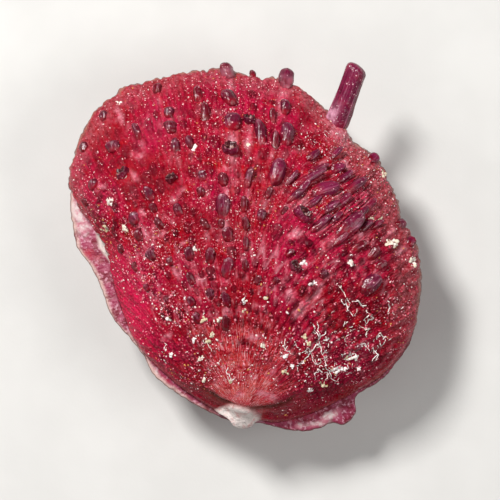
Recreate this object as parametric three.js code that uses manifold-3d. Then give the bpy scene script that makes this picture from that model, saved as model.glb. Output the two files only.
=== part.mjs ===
// A closed spiny oyster shell, resting on the flat scar where its lower valve grew on rock.
// Millimetres, +Z up. +Y runs from the beak to the opening edge, and the cupped valve is below.
import * as THREE from 'three';
import { mergeVertices } from 'three/addons/utils/BufferGeometryUtils.js';
import Module from 'manifold-3d';

const wasm = await Module();
wasm.setup();

// Driving dimensions.
const seamHeight = 23.0;
const seamGap = 0.3;
const seamWaves = [{ count: 3, height: 0.9, turn: 0.6 }, { count: 2, height: 0.7, turn: -0.8 }];
const seamWaveReach = 1.05;
const domeRise = 20.5;
const domeRound = 2.15;
const domeEase = 0.76;
const domeEaseChange = 0.14;
const upperWall = 4.0;
const upperLip = 1.1;
const vaultEase = 0.85;
const cavityEdge = 0.85;
const lowerFloor = 5.3;
const lowerLip = 2.3;
const cupRound = 2.4;
const cupEase = 0.7;
const bowlEase = 0.65;
const bowlShare = 0.5;
const bandSlope = 0.15;
const earSlope = 0.2;
const earDistance = 25;
const ribRise = 0.7;
const lowerRibRise = 0.84;
const ledgeRise = 0.55;
const scarCentre = { x: 0, y: -7 };
const scarRadius = { x: 16, y: 15 };
const scarUneven = { three: 0.05, five: 0.04 };
const scarPart = 0.34;
const shellCentre = { x: 0.1, y: -0.7 };
const beak = { x: -0.7, y: -44.6 };
const knob = { x: -2.0, y: -45.4, radiusX: 6.4, radiusY: 4.4, height: 5.0, blend: 1.4 };
const umboStep = { x: 2.8, y: -25.0, radius: 18.4, drop: 1.5, slope: 3, startY: -36, fullY: -40, edge: 0.96 };
const shortTilt = THREE.MathUtils.degToRad(24);
const longTilt = THREE.MathUtils.degToRad(15);
const longReach = 4.4;
const upperSpokes = 84;
const lowerSpokes = 64;

// Where ribs and ledges begin and end: in millimetres from the beak, and as parts of the way out.
const upperRelief = { start: 12, full: 40, fade: 0.97 };
const lowerRelief = { start: 0.1, full: 0.3, fade: 0.88, end: 0.96 };

// The outlines as distances by direction, and the directions that each rounder form is averaged over.
const tableSteps = 720;
const upperRoundSpan = 44;
const lowerRoundSpan = 50;

// A spine's form as shares of its length and width.
const spineBack = 0.28;
const spineShoulder = 0.04;
const spineNeck = 0.91;
const neckWidth = 0.78;
const spineFlatness = 0.8;
const spineSides = 6;
const spineFoot = 0.42;
const spineDepth = 0.02;

// The lower valve's spines, the same all round: how far out they stand by turns, and how they lean.
const lowerSpine = { length: 3.8, width: 2.4, depth: 1.2, fall: 0.35, outer: 0.9, inner: 0.84, spacing: 5 };

// The edge of the upper valve seen from above, clockwise from the beak.
const upperOutline = [
  [-0.4, -49.1], [-2.8, -48.3], [-4.5, -46.1], [-8.5, -43.9], [-15.8, -39.1], [-23.9, -32.1],
  [-29.8, -25.0], [-33.6, -15.9], [-36.3, -7.2], [-38.0, -0.3], [-41.0, 4.9], [-44.4, 9.7],
  [-46.8, 13.6], [-47.9, 18.2], [-46.8, 24.1], [-43.6, 32.2], [-40.4, 37.6], [-35.8, 41.4],
  [-31.5, 44.3], [-25.5, 45.7], [-19.6, 47.0], [-13.4, 48.1], [-8.0, 48.7], [-1.2, 47.6],
  [4.7, 46.5], [10.7, 45.7], [16.1, 43.0], [20.9, 38.7], [27.1, 33.8], [30.1, 28.4],
  [35.5, 25.2], [38.7, 20.3], [41.7, 12.8], [42.5, 8.4], [45.5, 4.1], [47.7, -2.4],
  [47.9, -10.2], [46.8, -19.1], [44.4, -25.6], [40.9, -30.7], [36.0, -35.8], [29.3, -39.6],
  [22.0, -43.4], [15.0, -46.1], [9.0, -47.5], [3.6, -47.2], [2.0, -48.5],
];

// The edge of the lower valve, which shows as a band on the left and an ear at the lower right.
const lowerOutline = [
  [-0.4, -47.7], [-5.0, -46.9], [-10.7, -44.2], [-17.4, -40.4], [-22.8, -36.4], [-25.5, -33.4],
  [-27.1, -29.9], [-30.4, -25.6], [-35.5, -19.6], [-37.7, -14.8], [-39.6, -9.4], [-42.5, -4.3],
  [-45.5, -0.2], [-46.6, 4.7], [-47.4, 10.6], [-47.1, 16.5], [-45.8, 23.6], [-42.3, 31.1],
  [-35.2, 40.0], [-25.5, 44.3], [-13.4, 46.8], [-1.2, 46.2], [10.7, 44.1], [20.4, 37.1],
  [27.9, 30.6], [34.4, 23.0], [39.3, 13.8], [42.5, 6.0], [46.0, -2.1], [46.8, -10.2],
  [46.3, -19.1], [45.2, -25.3], [41.7, -31.0], [36.6, -36.7], [32.3, -39.1], [30.1, -41.2],
  [30.4, -44.5], [29.3, -46.9], [27.1, -48.5], [23.9, -48.0], [20.9, -49.3], [16.6, -50.2],
  [11.2, -49.6], [4.7, -48.0],
];

// Blunt spines on the upper valve: x, y, width, and how far each reaches seen from above.
const upperSpines = [
  [11.5, 45.5, 3.8, 4.9], [-4.5, 47.7, 3.8, 4.1], [-38, 35.5, 2.4, 2.4], [-43.5, 27, 2.4, 2.4],
  [35, 24, 2.7, 2.7], [42, 6.5, 2.7, 2.7],
  [-35, 27, 3.2, 2.7], [-32, 19.5, 3.2, 2.7], [-40.5, 17, 3.2, 2.2], [-25, 14.5, 2.2, 3.8],
  [-19, 18, 2.7, 2.7], [-20, 36, 2.7, 2.7], [-19.5, 32, 3.2, 3.2], [-18.5, 27, 2.2, 3.8],
  [-28.5, 31, 2.2, 4.3], [-14.5, 28, 2.2, 3.2], [-10.5, 36, 2.4, 4.9], [-12.5, 41, 2.2, 3.8],
  [-4, 40, 3.8, 4.3], [-3, 33.5, 4.3, 3.8], [-3.5, 25.5, 4.3, 4.9], [-5.5, 18, 2.7, 3.2],
  [-5.5, 11, 3.2, 5.9], [-11, 19, 2.2, 2.7], [-17.5, 10, 2.4, 3.2], [-29, 8, 3.2, 2.7],
  [-22.5, 6.5, 1.9, 3.2], [-4.5, 3.5, 3.0, 3.2], [0, 11.5, 1.9, 3.8],
  [-9, -2, 2.4, 3.8], [-14.5, -1.5, 2.4, 3.2], [-24.5, -1.5, 3.2, 2.7], [-28, 3.5, 2.7, 2.7],
  [-32.5, 0, 2.2, 2.2], [-4.5, -5.5, 2.7, 4.9], [-14, -8, 2.2, 3.2], [-26, -10.5, 2.2, 1.9],
  [-4.5, -13.5, 1.9, 3.8], [13, -5, 3.0, 2.7], [4.5, 8.5, 2.2, 2.7], [3.5, -8.5, 2.2, 2.4],
  [11, 37.5, 2.2, 3.8], [4.5, 30.5, 2.7, 7.0], [11.5, 30, 3.8, 5.4], [9, 20, 4.3, 6.5],
  [1, 18.5, 1.9, 4.9], [18.5, 24.5, 2.2, 3.8], [17.5, 18.5, 2.2, 9.0], [21.5, 15.5, 3.8, 7.0],
  [29.5, 16.5, 2.4, 6.8], [15, 8.5, 3.8, 5.4], [20.5, 6.5, 2.2, 5.9], [26, 12, 2.0, 5.9],
  [28.5, 6, 3.8, 8.1], [34.5, -1.5, 2.2, 3.8], [33.5, -9.5, 3.8, 5.9], [21, -7, 2.2, 2.2],
];

// The one long spine that stands out from the top right of the edge.
const longSpine = { x: 24.8, y: 33.4, width: 6.6, reach: 16.8, rise: 4.5, heading: 20 };

// Growth rings of the upper valve, as parts of the way from the beak to the edge. Each pair is a step.
const upperRings = [
  0.07, 0.16, 0.26, 0.36, 0.45, 0.465, 0.54, 0.61, 0.625, 0.69, 0.75, 0.765, 0.82, 0.87, 0.885, 0.94, 1,
];
const upperLedges = [0.457, 0.617, 0.757, 0.877];

// Rings of the lower valve, as parts of the way from the scar to the edge, with its own steps.
const lowerRings = [0.14, 0.3, 0.45, 0.47, 0.6, 0.7, 0.72, 0.82, 0.9, 0.96, 1];
const lowerLedges = [0.46, 0.71];
const cavityRings = [cavityEdge, 0.72, 0.5, 0.25];
const lowerLand = 0.96;

function smoothstep(low, high, value) {
  return THREE.MathUtils.smoothstep(value, low, high);
}

function closedCurve(outline) {
  const points = outline.map(([x, y]) => new THREE.Vector3(x, y, 0));
  return new THREE.CatmullRomCurve3(points, true, 'catmullrom', 0.5);
}

// The distance from the shell's centre to an outline, for each half degree.
function radiusTable(outline) {
  const samples = closedCurve(outline).getPoints(3000).map((point) => {
    const dx = point.x - shellCentre.x;
    const dy = point.y - shellCentre.y;
    return { angle: Math.atan2(dy, dx), radius: Math.hypot(dx, dy) };
  });
  samples.sort((first, second) => first.angle - second.angle);
  const table = [];
  for (let step = 0; step < tableSteps; step += 1) {
    const angle = -Math.PI + (step * 2 * Math.PI) / tableSteps;
    const nearest = samples.find((sample) => sample.angle >= angle) ?? samples[0];
    table.push(nearest.radius);
  }
  return table;
}

// The same distances averaged over a span of directions, for the rounder form further in.
function smoothTable(table, halfSpan) {
  return table.map((unused, step) => {
    let sum = 0;
    let weights = 0;
    for (let offset = -halfSpan; offset <= halfSpan; offset += 1) {
      const weight = 1 - Math.abs(offset) / (halfSpan + 1);
      sum += weight * table[(step + offset + tableSteps) % tableSteps];
      weights += weight;
    }
    return sum / weights;
  });
}

function lookUp(table, angle) {
  const place = ((angle + Math.PI) * tableSteps) / (2 * Math.PI);
  const step = Math.floor(place);
  const part = place - step;
  const before = table[(step + tableSteps) % tableSteps];
  const after = table[(step + 1 + tableSteps) % tableSteps];
  return before * (1 - part) + after * part;
}

const upperRadius = radiusTable(upperOutline);
const upperRound = smoothTable(upperRadius, upperRoundSpan);
const lowerRadius = radiusTable(lowerOutline);
const lowerRound = smoothTable(lowerRadius, lowerRoundSpan);

// Where a point lies in plan: its direction from the centre and its part of the way to the edges.
function planPlace(x, y) {
  const dx = x - shellCentre.x;
  const dy = y - shellCentre.y;
  const angle = Math.atan2(dy, dx);
  const radius = Math.hypot(dx, dy);
  const edge = radius / lookUp(upperRadius, angle);
  const blend = smoothstep(0.5, 1, edge);
  const upperReach = THREE.MathUtils.lerp(lookUp(upperRound, angle), lookUp(upperRadius, angle), blend);
  const lowerReach = Math.min(lookUp(lowerRound, angle), lookUp(lowerRadius, angle));
  return { angle, radius, edge, upperPart: radius / upperReach, lowerPart: radius / lowerReach };
}

// The seam between the valves isn't level, but dips and rises round the edge.
function seam(place) {
  let wave = 0;
  for (const { count, height, turn } of seamWaves) {
    wave += height * Math.cos(count * place.angle + turn);
  }
  return seamHeight + wave * Math.min(place.edge, seamWaveReach) ** 2;
}

// The dome is steep behind the beak and eases towards the opening edge.
function dome(place) {
  const ease = domeEase + domeEaseChange * Math.sin(place.angle);
  return domeRise * Math.max(0, 1 - place.upperPart ** domeRound) ** ease;
}

function smoothMax(first, second, width) {
  const part = THREE.MathUtils.clamp(0.5 + (first - second) / (2 * width), 0, 1);
  return second * (1 - part) + first * part + width * part * (1 - part);
}

// The outer face of the upper valve: the dome, the step behind the beak and the worn knob.
function upperFace(x, y) {
  const place = planPlace(x, y);
  const base = seam(place) + seamGap / 2;
  const fromStep = Math.hypot(x - umboStep.x, y - umboStep.y) - umboStep.radius;
  const nearBeak = smoothstep(umboStep.startY, umboStep.fullY, y);
  const within = 1 - smoothstep(umboStep.edge, 1, place.edge);
  const drop = umboStep.drop * smoothstep(0, umboStep.slope, fromStep) * nearBeak * within;
  const body = upperLip + dome(place) - drop;
  const across = ((x - knob.x) / knob.radiusX) ** 2 + ((y - knob.y) / knob.radiusY) ** 2;
  const bump = knob.height * Math.sqrt(Math.max(0, 1 - across));
  return base + smoothMax(body, bump, knob.blend);
}

// The inner face of the upper valve: a flat land at the edge, then the hollow under the dome.
function upperInside(x, y) {
  const place = planPlace(x, y);
  const inward = Math.max(0, 1 - (place.upperPart / cavityEdge) ** domeRound) ** vaultEase;
  return seam(place) + seamGap / 2 + (domeRise - upperWall) * inward;
}

// The upward face of the lower valve: the land, the cup, and the edge that shows past the upper one.
function lowerInside(x, y) {
  const place = planPlace(x, y);
  const past = Math.max(0, place.radius - lookUp(upperRadius, place.angle));
  const slope = bandSlope + earSlope * smoothstep(0, earDistance, x);
  const cup = seamHeight - seamGap / 2 - lowerFloor;
  const inward = Math.max(0, 1 - (place.lowerPart / cavityEdge) ** cupRound) ** cupEase;
  return seam(place) - seamGap / 2 - slope * past - cup * inward;
}

// The closed body whose surface is a run of rings between two poles.
function closedShell(firstPole, rings, lastPole) {
  const count = rings[0].length;
  const positions = [...firstPole];
  for (const ring of rings) {
    for (const point of ring) {
      positions.push(...point);
    }
  }
  positions.push(...lastPole);
  const faces = [];
  for (let step = 0; step < count; step += 1) {
    const next = (step + 1) % count;
    faces.push(0, 1 + step, 1 + next);
    for (let ring = 0; ring < rings.length - 1; ring += 1) {
      const inner = 1 + ring * count;
      const outer = inner + count;
      faces.push(inner + step, outer + step, outer + next);
      faces.push(inner + step, outer + next, inner + next);
    }
    const last = 1 + (rings.length - 1) * count;
    faces.push(last + step, last + count, last + next);
  }
  const geometry = new THREE.BufferGeometry();
  geometry.setAttribute('position', new THREE.Float32BufferAttribute(positions, 3));
  geometry.setIndex(faces);
  return geometry;
}

function signedVolume(geometry) {
  const positions = geometry.attributes.position;
  const corners = [new THREE.Vector3(), new THREE.Vector3(), new THREE.Vector3()];
  let volume = 0;
  for (let face = 0; face < geometry.index.count; face += 3) {
    corners.forEach((corner, slot) => {
      corner.fromBufferAttribute(positions, geometry.index.getX(face + slot));
    });
    volume += corners[0].dot(corners[1].cross(corners[2])) / 6;
  }
  return volume;
}

function solidOf(geometry) {
  const merged = mergeVertices(geometry, 1e-4);
  if (signedVolume(merged) < 0) {
    merged.index.array.reverse();
  }
  return new wasm.Manifold(new wasm.Mesh({
    numProp: 3,
    vertProperties: new Float32Array(merged.attributes.position.array),
    triVerts: new Uint32Array(merged.index.array),
  }));
}

function geometryOf(solid) {
  const mesh = solid.getMesh();
  const geometry = new THREE.BufferGeometry();
  geometry.setAttribute('position', new THREE.BufferAttribute(mesh.vertProperties, 3));
  geometry.setIndex(new THREE.BufferAttribute(mesh.triVerts, 1));
  return geometry;
}

// Steps that rise towards the edge and drop back sharply, as growth leaves them.
function ledgeAt(part, ledges) {
  const next = ledges.find((ledge) => part < ledge) ?? 1;
  const before = [...ledges].reverse().find((ledge) => part >= ledge) ?? 0;
  return next === 1 ? 0 : ledgeRise * ((part - before) / (next - before)) ** 2;
}

// Places on the edge where ribs from the beak end, spread so that the ribs stand evenly apart there.
function ribEnds(outline, count) {
  const alongShare = 0.15;
  const samples = closedCurve(outline).getPoints(1500);
  const travel = [0];
  for (let step = 1; step < samples.length; step += 1) {
    const from = samples[step - 1];
    const to = samples[step];
    const reachX = from.x - beak.x;
    const reachY = from.y - beak.y;
    const across = Math.abs((to.x - from.x) * reachY - (to.y - from.y) * reachX) / Math.hypot(reachX, reachY);
    travel.push(travel[step - 1] + across + alongShare * from.distanceTo(to));
  }
  const ends = [];
  for (let rib = 0; rib < count; rib += 1) {
    const wanted = (travel[travel.length - 1] * rib) / count;
    ends.push(samples[travel.findIndex((distance) => distance >= wanted)]);
  }
  return ends;
}

function evenPoints(outline, count) {
  return closedCurve(outline).getSpacedPoints(count).slice(0, count);
}

function upperBody() {
  const edge = ribEnds(upperOutline, upperSpokes);
  const rings = upperRings.map((part) => edge.map((edgePoint, step) => {
    const x = beak.x + part * (edgePoint.x - beak.x);
    const y = beak.y + part * (edgePoint.y - beak.y);
    const length = Math.hypot(edgePoint.x - beak.x, edgePoint.y - beak.y);
    const begun = smoothstep(upperRelief.start, upperRelief.full, length * part);
    const relief = begun * (1 - smoothstep(upperRelief.fade, 1, part));
    const rib = step % 2 === 0 ? ribRise : 0;
    return [x, y, upperFace(x, y) + relief * (rib + ledgeAt(part, upperLedges))];
  }));
  for (const part of [1, ...cavityRings]) {
    rings.push(edge.map((edgePoint) => {
      const x = shellCentre.x + part * (edgePoint.x - shellCentre.x);
      const y = shellCentre.y + part * (edgePoint.y - shellCentre.y);
      return [x, y, upperInside(x, y)];
    }));
  }
  const firstPole = [beak.x, beak.y, upperFace(beak.x, beak.y)];
  const lastPole = [shellCentre.x, shellCentre.y, upperInside(shellCentre.x, shellCentre.y)];
  return solidOf(closedShell(firstPole, rings, lastPole));
}

// The bowl of the lower valve, from the flat scar up to the thin edge.
function lowerOutside(x, y, part) {
  const place = planPlace(x, y);
  const flange = lowerInside(x, y) - lowerLip;
  const round = 1 - (1 - part * part) ** bowlEase;
  const bowl = place.lowerPart < 1 ? (1 - bowlShare) * part + bowlShare * round : 1;
  return Math.min(flange, (seam(place) - lowerLip) * bowl);
}

function lowerBody() {
  const edge = evenPoints(lowerOutline, lowerSpokes);
  const scar = edge.map((edgePoint) => {
    const angle = Math.atan2(edgePoint.y - scarCentre.y, edgePoint.x - scarCentre.x);
    const uneven = 1 + scarUneven.three * Math.cos(3 * angle + 1) + scarUneven.five * Math.sin(5 * angle);
    return {
      x: scarCentre.x + uneven * scarRadius.x * Math.cos(angle),
      y: scarCentre.y + uneven * scarRadius.y * Math.sin(angle),
    };
  });
  const rings = [scar.map(({ x, y }) => [x, y, 0])];
  for (const part of lowerRings) {
    rings.push(edge.map((edgePoint, step) => {
      const x = scar[step].x + part * (edgePoint.x - scar[step].x);
      const y = scar[step].y + part * (edgePoint.y - scar[step].y);
      const begun = smoothstep(lowerRelief.start, lowerRelief.full, part);
      const relief = begun * (1 - smoothstep(lowerRelief.fade, lowerRelief.end, part));
      const rib = step % 2 === 0 ? lowerRibRise : 0;
      return [x, y, lowerOutside(x, y, part) - relief * (rib + ledgeAt(part, lowerLedges))];
    }));
  }
  for (const part of [1, lowerLand, ...cavityRings]) {
    rings.push(edge.map((edgePoint) => {
      const x = shellCentre.x + part * (edgePoint.x - shellCentre.x);
      const y = shellCentre.y + part * (edgePoint.y - shellCentre.y);
      return [x, y, lowerInside(x, y)];
    }));
  }
  const lastPole = [shellCentre.x, shellCentre.y, lowerInside(shellCentre.x, shellCentre.y)];
  return solidOf(closedShell([scarCentre.x, scarCentre.y, 0], rings, lastPole));
}

// A blunt spine: a six-sided stub that is widest near its buried back and ends in a worn, rounded tip.
function spine(root, direction, length, width) {
  const along = direction.clone().normalize();
  const side = new THREE.Vector3(-along.y, along.x, 0).normalize();
  const over = new THREE.Vector3().crossVectors(along, side);
  const sections = [[spineShoulder * length, 0.5 * width], [spineNeck * length, 0.5 * neckWidth * width]];
  const rings = sections.map(([distance, halfWidth]) => {
    const ring = [];
    for (let corner = 0; corner < spineSides; corner += 1) {
      const angle = (2 * corner * Math.PI) / spineSides;
      const point = root.clone().addScaledVector(along, distance);
      point.addScaledVector(side, halfWidth * Math.cos(angle));
      point.addScaledVector(over, spineFlatness * halfWidth * Math.sin(angle));
      ring.push(point.toArray());
    }
    return ring;
  });
  const back = root.clone().addScaledVector(along, -spineBack * length);
  const tip = root.clone().addScaledVector(along, length);
  return solidOf(closedShell(back.toArray(), rings, tip.toArray()));
}

// The direction square to the upper valve's outer face, which is kept from lying flat at the edge.
function faceNormal(x, y) {
  const step = 0.15;
  const steepest = 1.6;
  const slopeX = (upperFace(x + step, y) - upperFace(x - step, y)) / (2 * step);
  const slopeY = (upperFace(x, y + step) - upperFace(x, y - step)) / (2 * step);
  const excess = Math.max(1, Math.hypot(slopeX, slopeY) / steepest);
  return new THREE.Vector3(-slopeX / excess, -slopeY / excess, 1).normalize();
}

// A spine on the upper valve lies almost along the face and points away from the beak.
function upperSpine([x, y, width, reach]) {
  const away = new THREE.Vector3(x - beak.x, y - beak.y, 0).normalize();
  const root = new THREE.Vector3(x - spineFoot * reach * away.x, y - spineFoot * reach * away.y, 0);
  root.z = upperFace(root.x, root.y);
  const normal = faceNormal(root.x, root.y);
  root.addScaledVector(normal, -spineDepth * width);
  const tilt = reach > longReach ? longTilt : shortTilt;
  const direction = away.clone().addScaledVector(normal, -away.dot(normal)).normalize();
  direction.multiplyScalar(Math.cos(tilt)).addScaledVector(normal, Math.sin(tilt));
  return spine(root, direction, reach / Math.hypot(direction.x, direction.y), width);
}

function longEdgeSpine() {
  const heading = THREE.MathUtils.degToRad(longSpine.heading);
  const root = new THREE.Vector3(longSpine.x, longSpine.y, 0);
  root.z = upperFace(root.x, root.y);
  const direction = new THREE.Vector3(
    longSpine.reach * Math.sin(heading),
    longSpine.reach * Math.cos(heading),
    longSpine.rise,
  );
  return spine(root, direction, direction.length(), longSpine.width);
}

// Short spines that lean outwards on the flank of the lower valve.
function lowerSpines() {
  const edge = evenPoints(lowerOutline, lowerSpokes);
  const spines = [];
  for (let step = 0; step < lowerSpokes; step += lowerSpine.spacing) {
    const part = step % 2 === 0 ? lowerSpine.outer : lowerSpine.inner;
    const outward = new THREE.Vector3(edge[step].x - shellCentre.x, edge[step].y - shellCentre.y, 0);
    outward.normalize();
    const x = shellCentre.x + part * (edge[step].x - shellCentre.x);
    const y = shellCentre.y + part * (edge[step].y - shellCentre.y);
    const climb = (part - scarPart) / (1 - scarPart);
    const root = new THREE.Vector3(x, y, lowerOutside(x, y, climb));
    outward.z = -lowerSpine.fall;
    root.addScaledVector(outward, -lowerSpine.depth);
    spines.push(spine(root, outward, lowerSpine.length, lowerSpine.width));
  }
  return spines;
}

function upperValve() {
  const spines = upperSpines.map(upperSpine);
  return wasm.Manifold.union([upperBody(), longEdgeSpine(), ...spines]);
}

function lowerValve() {
  return wasm.Manifold.union([lowerBody(), ...lowerSpines()]);
}

const crimson = new THREE.MeshStandardMaterial({ color: 0xa02a45, roughness: 0.5, metalness: 0 });
const pinkPurple = new THREE.MeshStandardMaterial({ color: 0xa8506e, roughness: 0.55, metalness: 0 });

function namedMesh(name, solid, material) {
  const mesh = new THREE.Mesh(geometryOf(solid), material);
  mesh.name = name;
  return mesh;
}

const shell = new THREE.Group();
shell.name = 'spiny_oyster_shell';
shell.add(namedMesh('upper_valve', upperValve(), crimson));
shell.add(namedMesh('lower_valve', lowerValve(), pinkPurple));

export default shell;
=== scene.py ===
import math

import bpy
import numpy as np
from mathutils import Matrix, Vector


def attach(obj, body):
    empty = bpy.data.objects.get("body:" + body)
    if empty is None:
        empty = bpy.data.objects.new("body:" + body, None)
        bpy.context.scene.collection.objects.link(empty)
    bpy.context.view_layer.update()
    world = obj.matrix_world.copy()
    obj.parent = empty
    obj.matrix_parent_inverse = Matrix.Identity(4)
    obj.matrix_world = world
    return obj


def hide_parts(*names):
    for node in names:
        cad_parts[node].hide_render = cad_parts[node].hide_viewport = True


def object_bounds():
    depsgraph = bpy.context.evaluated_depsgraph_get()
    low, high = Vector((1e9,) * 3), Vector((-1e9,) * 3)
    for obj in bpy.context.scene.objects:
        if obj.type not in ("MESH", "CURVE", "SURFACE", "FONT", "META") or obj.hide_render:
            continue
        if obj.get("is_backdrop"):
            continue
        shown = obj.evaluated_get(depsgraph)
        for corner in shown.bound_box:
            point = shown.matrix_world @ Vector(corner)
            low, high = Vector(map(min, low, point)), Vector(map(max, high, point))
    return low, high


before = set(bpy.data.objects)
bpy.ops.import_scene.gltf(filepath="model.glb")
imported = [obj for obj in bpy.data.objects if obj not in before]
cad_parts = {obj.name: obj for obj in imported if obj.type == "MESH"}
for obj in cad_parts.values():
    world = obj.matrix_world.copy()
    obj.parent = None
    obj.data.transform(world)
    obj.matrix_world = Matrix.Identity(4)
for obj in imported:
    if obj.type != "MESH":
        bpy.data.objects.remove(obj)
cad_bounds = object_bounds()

# A closed spiny oyster shell seen from above, on a plain pale floor.
# The form functions work in millimetres, and points become metres when a mesh is made.
MM = 0.001
TOP_GAP = 0.05
TOP_EASE = 1.6
TOP = cad_bounds[1][2] / MM - TOP_GAP

# The form of the two valves, in millimetres, with the CAD model's values.
SEAM_HEIGHT = 23.0
SEAM_GAP = 0.3
SEAM_WAVES = ((0.9, 3, 0.6), (0.7, 2, -0.8))
DOME_RISE = 20.5
DOME_POWER = 2.15
UPPER_WALL = 4.0
UPPER_LIP = 1.1
CAVITY_EDGE = 0.85
LOWER_FLOOR = 5.3
LOWER_LIP = 2.3
CUP_POWER = 2.4
BOWL_POWER = 0.65
LIP_SLOPE = 0.15
EAR_SLOPE = 0.2
SCAR_CENTRE = (0.0, -7.0)
SCAR_RADIUS = (16.0, 15.0)
CENTRE = (0.1, -0.7)
BEAK = (-0.7, -44.6)
KNOB = (-2.0, -45.4)
KNOB_RADIUS = (6.4, 4.4)
KNOB_HEIGHT = 5.0
KNOB_BLEND = 1.4
KNOB_MARK = (-2.8, -46.2)
KNOB_MARK_RADIUS = (6.6, 3.3)
UMBO_STEP = (2.8, -25.0)
UMBO_STEP_RADIUS = 18.4
UMBO_STEP_DROP = 1.5
FULL_LENGTH = 97.0

# The edge of each valve seen from above, clockwise from the beak.
UPPER_OUTLINE = [
    (-0.4, -49.1), (-2.8, -48.3), (-4.5, -46.1), (-8.5, -43.9), (-15.8, -39.1), (-23.9, -32.1),
    (-29.8, -25.0), (-33.6, -15.9), (-36.3, -7.2), (-38.0, -0.3), (-41.0, 4.9), (-44.4, 9.7),
    (-46.8, 13.6), (-47.9, 18.2), (-46.8, 24.1), (-43.6, 32.2), (-40.4, 37.6), (-35.8, 41.4),
    (-31.5, 44.3), (-25.5, 45.7), (-19.6, 47.0), (-13.4, 48.1), (-8.0, 48.7), (-1.2, 47.6), (4.7, 46.5),
    (10.7, 45.7), (16.1, 43.0), (20.9, 38.7), (27.1, 33.8), (30.1, 28.4), (35.5, 25.2), (38.7, 20.3),
    (41.7, 12.8), (42.5, 8.4), (45.5, 4.1), (47.7, -2.4), (47.9, -10.2), (46.8, -19.1), (44.4, -25.6),
    (40.9, -30.7), (36.0, -35.8), (29.3, -39.6), (22.0, -43.4), (15.0, -46.1), (9.0, -47.5), (3.6, -47.2),
    (2.0, -48.5),
]

LOWER_OUTLINE = [
    (-0.4, -47.7), (-5.0, -46.9), (-10.7, -44.2), (-17.4, -40.4), (-22.8, -36.4), (-25.5, -33.4),
    (-27.1, -29.9), (-30.4, -25.6), (-35.5, -19.6), (-37.7, -14.8), (-39.6, -9.4), (-42.5, -4.3),
    (-45.5, -0.2), (-46.6, 4.7), (-47.4, 10.6), (-47.1, 16.5), (-45.8, 23.6), (-42.3, 31.1),
    (-35.2, 40.0), (-25.5, 44.3), (-13.4, 46.8), (-1.2, 46.2), (10.7, 44.1), (20.4, 37.1), (27.9, 30.6),
    (34.4, 23.0), (39.3, 13.8), (42.5, 6.0), (46.0, -2.1), (46.8, -10.2), (46.3, -19.1), (45.2, -25.3),
    (41.7, -31.0), (36.6, -36.7), (32.3, -39.1), (30.1, -41.2), (30.4, -44.5), (29.3, -46.9),
    (27.1, -48.5), (23.9, -48.0), (20.9, -49.3), (16.6, -50.2), (11.2, -49.6), (4.7, -48.0),
]

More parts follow.
